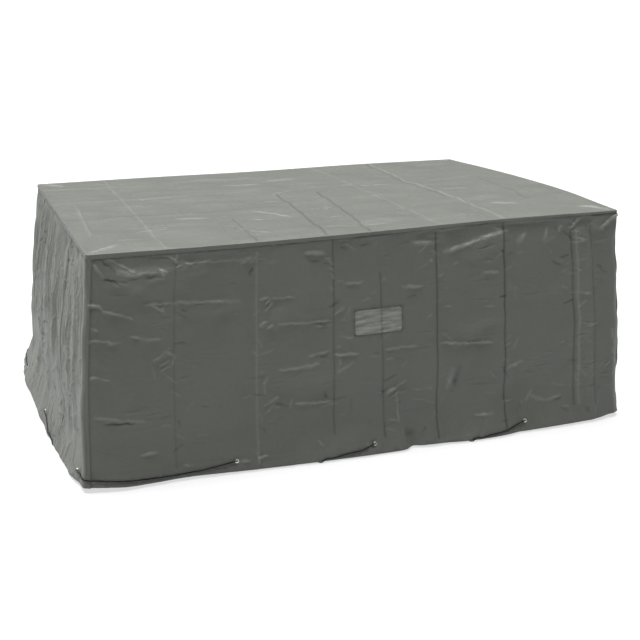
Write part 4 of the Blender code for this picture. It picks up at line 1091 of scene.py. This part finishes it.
def make_top():
    across, back = [
        np.array(fill([-size / 2, -size / 2 + TOP_RIM, size / 2 - TOP_RIM, size / 2], cell))
        for size, cell in zip((LENGTH, WIDTH), TOP_CELLS)]
    columns, rows = len(across), len(back)
    x, y = np.meshgrid(across, back)
    flat_x, flat_y = rounded(x, y, EDGE_ROUND)
    height = top_height(x, y) + top_relief(x, y)
    points = [np.stack([flat_x, flat_y, height], axis=-1).reshape(-1, 3)]
    faces = [(first, right, far, behind) for first, behind, far, right in grid_faces(rows, columns)]

    # Once round the outline from the front's left end: rings over the edge and down the turned-down strip
    rim = [(0, k) for k in range(columns - 1)] + [(k, columns - 1) for k in range(rows - 1)]
    rim += [(rows - 1, k) for k in range(columns - 1, 0, -1)] + [(k, 0) for k in range(rows - 1, 0, -1)]
    rim_x = np.array([across[column] for _, column in rim])
    rim_y = np.array([back[row] for row, _ in rim])
    steps = np.hypot(np.diff(rim_x, append=rim_x[0]), np.diff(rim_y, append=rim_y[0]))
    distance = np.concatenate([[0], np.cumsum(steps)[:-1]])
    deep = turned_down(distance)
    ripple = waves(95, distance, distance * 0, 0.35, 0.05, 0.30)
    turns = [math.radians(turn) for turn in (22.5, 45, 67.5, 90)]
    rings = [(EDGE_ROUND * (1 - math.sin(turn)), np.full(len(rim), EDGE_ROUND * (1 - math.cos(turn))))
             for turn in turns]
    rings += [(0.0, EDGE_ROUND + (deep - EDGE_ROUND) * part) for part in (0.4, 0.7, 1.0)]
    above = np.array([row * columns + column for row, column in rim])
    uv = [np.stack([x, y], axis=-1).reshape(-1, 2)]
    total = rows * columns
    for inset, down in rings:
        ring_x, ring_y = rounded(rim_x, rim_y, inset)
        level = top_height(rim_x, rim_y) - down + ripple * (down > EDGE_ROUND)
        points.append(np.stack([ring_x, ring_y, level], axis=-1))
        uv.append(np.stack([rim_x * (1 + down), rim_y * (1 + down)], axis=-1))
        below = total + np.arange(len(rim))
        total += len(rim)
        for k in range(len(rim)):
            following = (k + 1) % len(rim)
            faces.append((int(above[k]), int(below[k]), int(below[following]), int(above[following])))
        above = below
    top = add_mesh("top_cloth", np.concatenate(points), faces, np.concatenate(uv))
    # Ridges painted lighter, partly rubbed wear and partly painted highlight, and troughs painted darker with
    # painted shade
    rub_and_painted_light = lifts(TOP_PACKING, x, y, 1.3, False) + lifts(TOP_WRINKLES, x, y, 1.6, True)
    rub_and_painted_light = np.clip(rub_and_painted_light * RUBBING_AND_PAINTED_LIGHT, -1, 1).ravel()
    keep_values(top, "rub_and_painted_light", np.concatenate([rub_and_painted_light, np.zeros(total - rows * columns)]))
    thin_out(top, TOP_TRIANGLES)
    thicken(top, CLOTH)
    return place_piece(top, CLOTH_FINISH, "cover_cloth", "top_panel")


top = make_top()


# ---------------------------------------------------------------- the patch

PATCH_POINTS = (110, 56)  # along and down


def make_patch():
    along = np.linspace(*PATCH, PATCH_POINTS[0])
    depth = np.linspace(*PATCH_DEPTHS, PATCH_POINTS[1])
    from_edge = np.minimum(depth - PATCH_DEPTHS[0], PATCH_DEPTHS[1] - depth)
    dip = np.maximum(0, PATCH_ROUND - from_edge)
    inset = PATCH_ROUND - np.sqrt(np.maximum(0, PATCH_ROUND ** 2 - dip ** 2))
    middle, half = sum(PATCH) / 2, (PATCH[1] - PATCH[0]) / 2
    places = middle + (along[None, :] - middle) * (half - inset[:, None]) / half
    edge = np.minimum(half - np.abs(places - middle), from_edge[:, None])
    lift = PATCH_LIFT * (0.55 + 0.45 * ease(0.0, 0.006, edge))
    lift = lift + waves(55, places * 0.4, depth[:, None], 0.55, 0.018, 0.06)
    points = wall_place(FRONT, places, depth[:, None], lift)
    uv = np.stack(np.broadcast_arrays(places, -depth[:, None]), axis=-1)
    patch = add_mesh("label_patch", points, grid_faces(len(depth), len(along)), uv)
    # The crease across the patch, painted lighter on a ridge and darker in a trough: painted highlight and
    # painted shade
    rub_and_painted_light = lifts(PACKING_ROWS[FRONT], places, depth[:, None], 1.3, False) * RUBBING_AND_PAINTED_LIGHT
    keep_values(patch, "rub_and_painted_light", np.clip(rub_and_painted_light, -1, 1))
    thicken(patch, PATCH_CLOTH)
    return place_piece(patch, PATCH_FINISH, "patch_cloth", "patch")


patch = make_patch()


# ---------------------------------------------------------------- the eyelets

def eyelet_frame(side, along):
    """The middle of the cloth at an eyelet, as a matrix whose Z points out."""
    point, out, _, _ = cloth_at(side, np.float64(along), np.float64(DROP - EYELET_HEIGHT))
    turn = Vector(out).to_track_quat("Z", "Y").to_matrix().to_4x4()
    return Matrix.Translation(Vector(point - out * HEM_CLOTH / 2)) @ turn


def pick_faces(piece, test):
    """Select the faces that pass a test of their middle and normal."""
    mesh = bmesh.from_edit_mesh(piece.data)
    for face in mesh.faces:
        face.select_set(False)
    for face in mesh.faces:
        if test(face.calc_center_median(), face.normal):
            face.select_set(True)
    bmesh.update_edit_mesh(piece.data)


def pick_edges(piece, test):
    """Select the edges whose two ends pass a test."""
    mesh = bmesh.from_edit_mesh(piece.data)
    for vertex in mesh.verts:
        vertex.select_set(False)
    mesh.select_flush(False)
    for edge in mesh.edges:
        if all(test(vertex.co) for vertex in edge.verts):
            edge.select_set(True)
    bmesh.update_edit_mesh(piece.data)


def model_eyelet():
    """One eyelet: two domed plates on a barrel, with the cloth's gap between them."""
    plate_gap = HEM_CLOTH / 2 + 0.0001
    half = plate_gap + EYELET_PLATE
    dome = 0.0005
    lip = 0.0060  # radius of the dome's crown
    deselect()
    bpy.ops.mesh.primitive_cylinder_add(vertices=40, radius=EYELET_FLANGE, depth=2 * half, location=(0, 0, 0))
    ring = bpy.context.object
    ring.name = "eyelet_ring"
    bpy.ops.object.mode_set(mode="EDIT")
    bpy.ops.mesh.select_mode(type="FACE")
    pick_faces(ring, lambda middle, normal: abs(normal.z) > 0.9)
    bpy.ops.mesh.inset(thickness=EYELET_FLANGE - lip, depth=dome)
    bpy.ops.mesh.inset(thickness=lip - EYELET_BORE, depth=-dome * 0.7)
    bpy.ops.mesh.bridge_edge_loops()
    for level in (-plate_gap, plate_gap):
        bpy.ops.mesh.select_all(action="SELECT")
        bpy.ops.mesh.bisect(plane_co=(0, 0, level), plane_no=(0, 0, 1))
    pick_faces(ring, lambda middle, normal: abs(middle.z) < plate_gap * 0.5 and middle.xy.length > lip)
    bpy.ops.mesh.extrude_region_shrink_fatten(
        TRANSFORM_OT_shrink_fatten={"value": EYELET_BARREL - EYELET_FLANGE})
    bpy.ops.mesh.select_mode(type="EDGE")
    pick_edges(ring, lambda place: abs(place.z) > half - 0.0002 and place.xy.length > 0.5 * EYELET_BORE)
    bpy.ops.mesh.bevel(offset=0.00032, segments=3, affect="EDGES")
    bpy.ops.mesh.select_all(action="SELECT")
    bpy.ops.mesh.normals_make_consistent(inside=False)
    bpy.ops.object.mode_set(mode="OBJECT")
    deselect()
    ring.select_set(True)
    bpy.ops.object.shade_smooth_by_angle(angle=math.radians(50))
    return ring


def set_eyelet(ring, side, number):
    """A copy of the eyelet in its place in the hem."""
    name = f"eyelet_{NAMES[side]}_{number + 1}"
    copy = bpy.data.objects.new(name + "_ring", ring.data.copy())
    bpy.context.scene.collection.objects.link(copy)
    copy.data.transform(eyelet_frame(side, EYELETS[side][number]))
    return place_piece(copy, METAL_FINISH, "eyelet_metal", name)


ring = model_eyelet()
eyelets = [[set_eyelet(ring, side, number) for number in range(3)] for side in range(4)]
bpy.data.objects.remove(ring)


# ---------------------------------------------------------------- the cord

def side_at(distance):
    """The side that is this far round the outline, and the place along it."""
    distance %= ROUND
    side = max(k for k in range(4) if STARTS[k] <= distance)
    return side, distance - STARTS[side] - HALVES[side]


def beside_cloth(distance, above, out):
    """The point `out` from the wall's outer face at a height above the hem's edge."""
    side, along = side_at(distance)
    depth = DROP - max(above, 0.0)
    _, normal, _, down = cloth_at(side, np.float64(along), np.float64(min(depth, DROP - 0.004)))
    point = wall_place(side, np.float64(along), np.float64(depth))
    return point + normal * out - down * min(above, 0.0)


def stand_off(face):
    """How far the cord's middle is from the outer face of the cloth."""
    if face == OUTSIDE:
        return CORD / 2 + CORD_GAP
    if face == INSIDE:
        return -(HEM_CLOTH + CORD / 2 + INSIDE_GAP)
    return -HEM_CLOTH / 2


def cord_route():
    """The cord's points, once round the hem."""
    rows = [((STARTS[side] + HALVES[side] + along) % ROUND, above / 1000, face)
            for side, along, above, face in LACING]
    route = []
    for k, (distance, above, face) in enumerate(rows):
        before, after = rows[k - 1], rows[(k + 1) % len(rows)]
        if face == THROUGH:
            place = eyelet_frame(*side_at(distance))
            middle, normal = np.array(place.translation), np.array(place.to_3x3().col[2])
            for beside, bend in ((before, EYELET_BEND[::-1]), (after, EYELET_BEND)):
                towards = beside_cloth(beside[0], beside[1], 0.0) - middle
                towards -= normal * towards.dot(normal)
                towards /= np.linalg.norm(towards)
                for run, out in bend:
                    route.append(middle + towards * run / 1000 + normal * beside[2] * out / 1000)
        elif face == BELOW:
            run, height = HEM_RISE
            route.append(beside_cloth(distance - run, height, stand_off(before[2])))
            for quarter in range(5):
                turn = math.radians(45) * quarter
                beside = before if quarter < 2 else after
                out = stand_off(BELOW) + (stand_off(beside[2]) - stand_off(BELOW)) * abs(math.cos(turn))
                below = -(CORD / 2 + CORD_GAP) * math.sin(turn)
                route.append(beside_cloth(distance + HEM_TURN * (quarter / 2 - 1), below, out))
            route.append(beside_cloth(distance + run, height, stand_off(after[2])))
        else:
            route.append(beside_cloth(distance, above, stand_off(face)))
        start, stop = BEND_REACH[face], BEND_REACH[after[2]]
        gap = (after[0] - distance) % ROUND
        lying = after[2] if face in (THROUGH, BELOW) else face
        count = max(0, round((gap - start - stop) / CORD_STEP))
        for step in range(count):
            run = start + (gap - start - stop) * (step + 0.5) / count
            height = above + (after[1] - above) * run / gap
            route.append(beside_cloth(distance + run, height, stand_off(lying)))
    return np.array(route)


def smooth_ring(points, spacing):
    """Even points on the smooth curve through a closed ring of points."""
    fine = []
    for k in range(len(points)):
        near = [points[(k + step) % len(points)] for step in (-1, 0, 1, 2)]
        pieces = max(2, math.ceil(np.linalg.norm(near[2] - near[1]) / spacing))
        fine += [cubic(near, t / pieces) for t in range(pieces)]
    return np.array(fine)


def make_cord():
    line = smooth_ring(cord_route(), CORD_RING_STEP)
    count = len(line)
    ahead = np.roll(line, -1, axis=0) - np.roll(line, 1, axis=0)
    ahead /= np.linalg.norm(ahead, axis=1, keepdims=True)
    sideways = np.cross(ahead, (0, 0, 1))
    sideways /= np.linalg.norm(sideways, axis=1, keepdims=True)
    upward = np.cross(sideways, ahead)
    angles = np.arange(CORD_SIDES) * math.tau / CORD_SIDES
    points = line[:, None, :] + CORD / 2 * (np.cos(angles)[None, :, None] * sideways[:, None, :]
                                            + np.sin(angles)[None, :, None] * upward[:, None, :])
    run = np.concatenate([[0], np.cumsum(np.linalg.norm(np.diff(line, axis=0), axis=1))])
    uv = np.stack(np.broadcast_arrays(run[:, None], angles[None, :] * CORD / 2), axis=-1)
    faces = []
    for ring_number in range(count):
        following = (ring_number + 1) % count
        for corner in range(CORD_SIDES):
            beside = (corner + 1) % CORD_SIDES
            faces.append((ring_number * CORD_SIDES + corner, ring_number * CORD_SIDES + beside,
                          following * CORD_SIDES + beside, following * CORD_SIDES + corner))
    cord = add_mesh("elastic_cord", points, faces, uv)
    choose(cord)
    bpy.ops.object.mode_set(mode="EDIT")
    bpy.ops.mesh.select_all(action="SELECT")
    bpy.ops.mesh.normals_make_consistent(inside=False)
    bpy.ops.object.mode_set(mode="OBJECT")
    return place_piece(cord, CORD_FINISH, "cord_elastic", "drawcord")


make_cord()


# ---------------------------------------------------------------- the stitching

STITCH = 0.0034
STITCH_STEP = 0.0044
THREAD = 0.0007
HEM_SEAM = 0.055  # the hem's stitches over its edge
SEAM_INSET = 0.0035  # every other seam lies this far inside its edge


def stitch_rows(name, rows):
    """Lockstitches along rows of cloth places: each row is a side, places along it and depths, and a lift."""
    ends = STITCH / 2
    shape = [(-ends, 0, -THREAD * 0.4)]
    for run in (-ends * 0.55, ends * 0.55):
        shape += [(run, way * THREAD / 2, lift) for way, lift in ((-1, 0.0), (0, THREAD * 0.55), (1, 0.0))]
    shape.append((ends, 0, -THREAD * 0.4))
    shape = np.array(shape)
    pattern = [(0, 2, 1), (0, 3, 2), (1, 2, 5, 4), (2, 3, 6, 5), (7, 4, 5), (7, 5, 6), (0, 1, 4, 7),
               (0, 7, 6, 3)]
    points, faces = [], []
    for side, along, depth, lift in rows:
        point, out, _, _ = cloth_at(side, along, depth)
        ahead = np.gradient(point, axis=0)
        ahead /= np.linalg.norm(ahead, axis=1, keepdims=True)
        sideways = np.cross(out, ahead)
        for k in range(len(point)):
            start = len(points) * len(shape)
            base = point[k] + out[k] * lift
            points.append(base + shape[:, :1] * ahead[k] + shape[:, 1:2] * sideways[k]
                          + shape[:, 2:] * out[k])
            faces += [tuple(start + corner for corner in face) for face in pattern]
    made = add_mesh(name, np.concatenate(points), faces)
    return place_piece(made, THREAD_FINISH, "cover_cloth")


def run_along(start, end):
    """Places of the stitches between two places."""
    return np.arange(start, end, STITCH_STEP)


hem_rows, edge_rows, lap_rows = [], [], []
for side in range(4):
    half = HALVES[side]
    places = run_along(-half + LAP_END + 0.003, half - 0.001)
    hem_rows.append((side, places, np.full(len(places), DROP - HEM_SEAM), 0.0001))
    places = run_along(-half + 0.004, half - 0.004)
    deep = turned_down(STARTS[side] + half + places) - SEAM_INSET
    edge_rows.append((side, places, deep, 0.0002))
    depths = run_along(0.030, DROP - 0.004)
    lap_rows.append((side, np.full(len(depths), -half + LAP_END - SEAM_INSET), depths, 0.0001))
stitch_rows("hem_stitches", hem_rows)
edge_stitches = stitch_rows("edge_stitches", edge_rows)
stitch_rows("lap_stitches", lap_rows)

ends = (PATCH[0] + SEAM_INSET, PATCH[1] - SEAM_INSET)
levels = (PATCH_DEPTHS[0] + SEAM_INSET, PATCH_DEPTHS[1] - SEAM_INSET)
patch_rows = []
for level in levels:
    places = run_along(ends[0] + PATCH_ROUND / 2, ends[1] - PATCH_ROUND / 2)
    patch_rows.append((FRONT, places, np.full(len(places), level), PATCH_LIFT))
for end in ends:
    depths = run_along(levels[0] + PATCH_ROUND / 2, levels[1] - PATCH_ROUND / 2)
    patch_rows.append((FRONT, np.full(len(depths), end), depths, PATCH_LIFT))
patch_stitches = stitch_rows("patch_stitches", patch_rows)


# ---------------------------------------------------------------- floor, light and camera

def studio_floor():
    deselect()
    bpy.ops.mesh.primitive_plane_add(size=1600, location=(0, 0, FLOOR))
    floor = bpy.context.object
    floor.name = "studio_floor"
    made, tree, shader = new_material("opal acrylic, lit from below", "#828382", 0.9, Specular_IOR_Level=0.1,
                                      Emission_Color=linear("#ffffff"), Emission_Strength=0.66)
    places = node(tree, "ShaderNodeTexCoord")
    grain = node(tree, "ShaderNodeTexNoise", [("Vector", places, "Object")], in_Scale=40.0)
    bump = node(tree, "ShaderNodeBump", [("Height", grain, "Fac")], in_Strength=0.02, in_Distance=0.001)
    tree.links.new(bump.outputs["Normal"], shader.inputs["Normal"])
    floor.data.materials.append(made)


def studio_world():
    """A dim room with a brighter band round the horizon, dimmer on the right. The camera sees it as an even
    dark grey, which shows past the floor's far edge in low views, and not in the main one."""
    world = bpy.data.worlds.new("studio")
    bpy.context.scene.world = world
    world.use_nodes = True
    tree = world.node_tree
    background = tree.nodes["Background"]
    places = node(tree, "ShaderNodeTexCoord")
    parts = node(tree, "ShaderNodeSeparateXYZ", [("Vector", places, "Generated")])
    band = node(tree, "ShaderNodeMapRange", [("Value", parts, "Z")], in_From_Min=0.015, in_From_Max=0.04,
                in_To_Min=1.15, in_To_Max=0.12)
    dimmer = node(tree, "ShaderNodeMapRange", [("Value", parts, "X")], in_From_Min=-0.2, in_From_Max=0.8,
                  in_To_Min=1.0, in_To_Max=0.25)
    room = node(tree, "ShaderNodeMath", [(0, band, "Result"), (1, dimmer, "Result")], operation="MULTIPLY")
    rays = node(tree, "ShaderNodeLightPath")
    seen = node(tree, "ShaderNodeMath", [(0, room, "Value"), (1, rays, "Is Camera Ray")], operation="MAXIMUM")
    tree.links.new(seen.outputs["Value"], background.inputs["Strength"])


def sun(name, strength, width, azimuth, height):
    """A broad soft light. Azimuth 0 is from the front and 90 from the right, and height is above level."""
    data = bpy.data.lights.new(name, "SUN")
    data.energy = strength
    data.angle = math.radians(width)
    lamp = bpy.data.objects.new(name, data)
    bpy.context.scene.collection.objects.link(lamp)
    turn, rise = math.radians(azimuth), math.radians(height)
    towards = Vector((math.sin(turn) * math.cos(rise), -math.cos(turn) * math.cos(rise), math.sin(rise)))
    lamp.rotation_euler = towards.to_track_quat("Z", "Y").to_euler()


studio_floor()
studio_world()
sun("overhead softbox", 8.2, 44, 214, 80)
sun("left softbox", 0.10, 30, 282, 20)

CAMERA_PLACE = (-1.6825, -4.8582, 0.9248)
CAMERA_PITCH = 16.580  # degrees down
CAMERA_YAW = 19.794  # degrees to the right
CAMERA_LENS = 62.21
lens = bpy.data.cameras.new("camera")
lens.sensor_width = 36
lens.lens = CAMERA_LENS
lens.clip_end = 2000
camera = bpy.data.objects.new("camera", lens)
bpy.context.scene.collection.objects.link(camera)
camera.location = CAMERA_PLACE
camera.rotation_euler = (math.radians(90 - CAMERA_PITCH), 0, math.radians(-CAMERA_YAW))
bpy.context.scene.camera = camera
bpy.context.scene.view_settings.view_transform = "Standard"
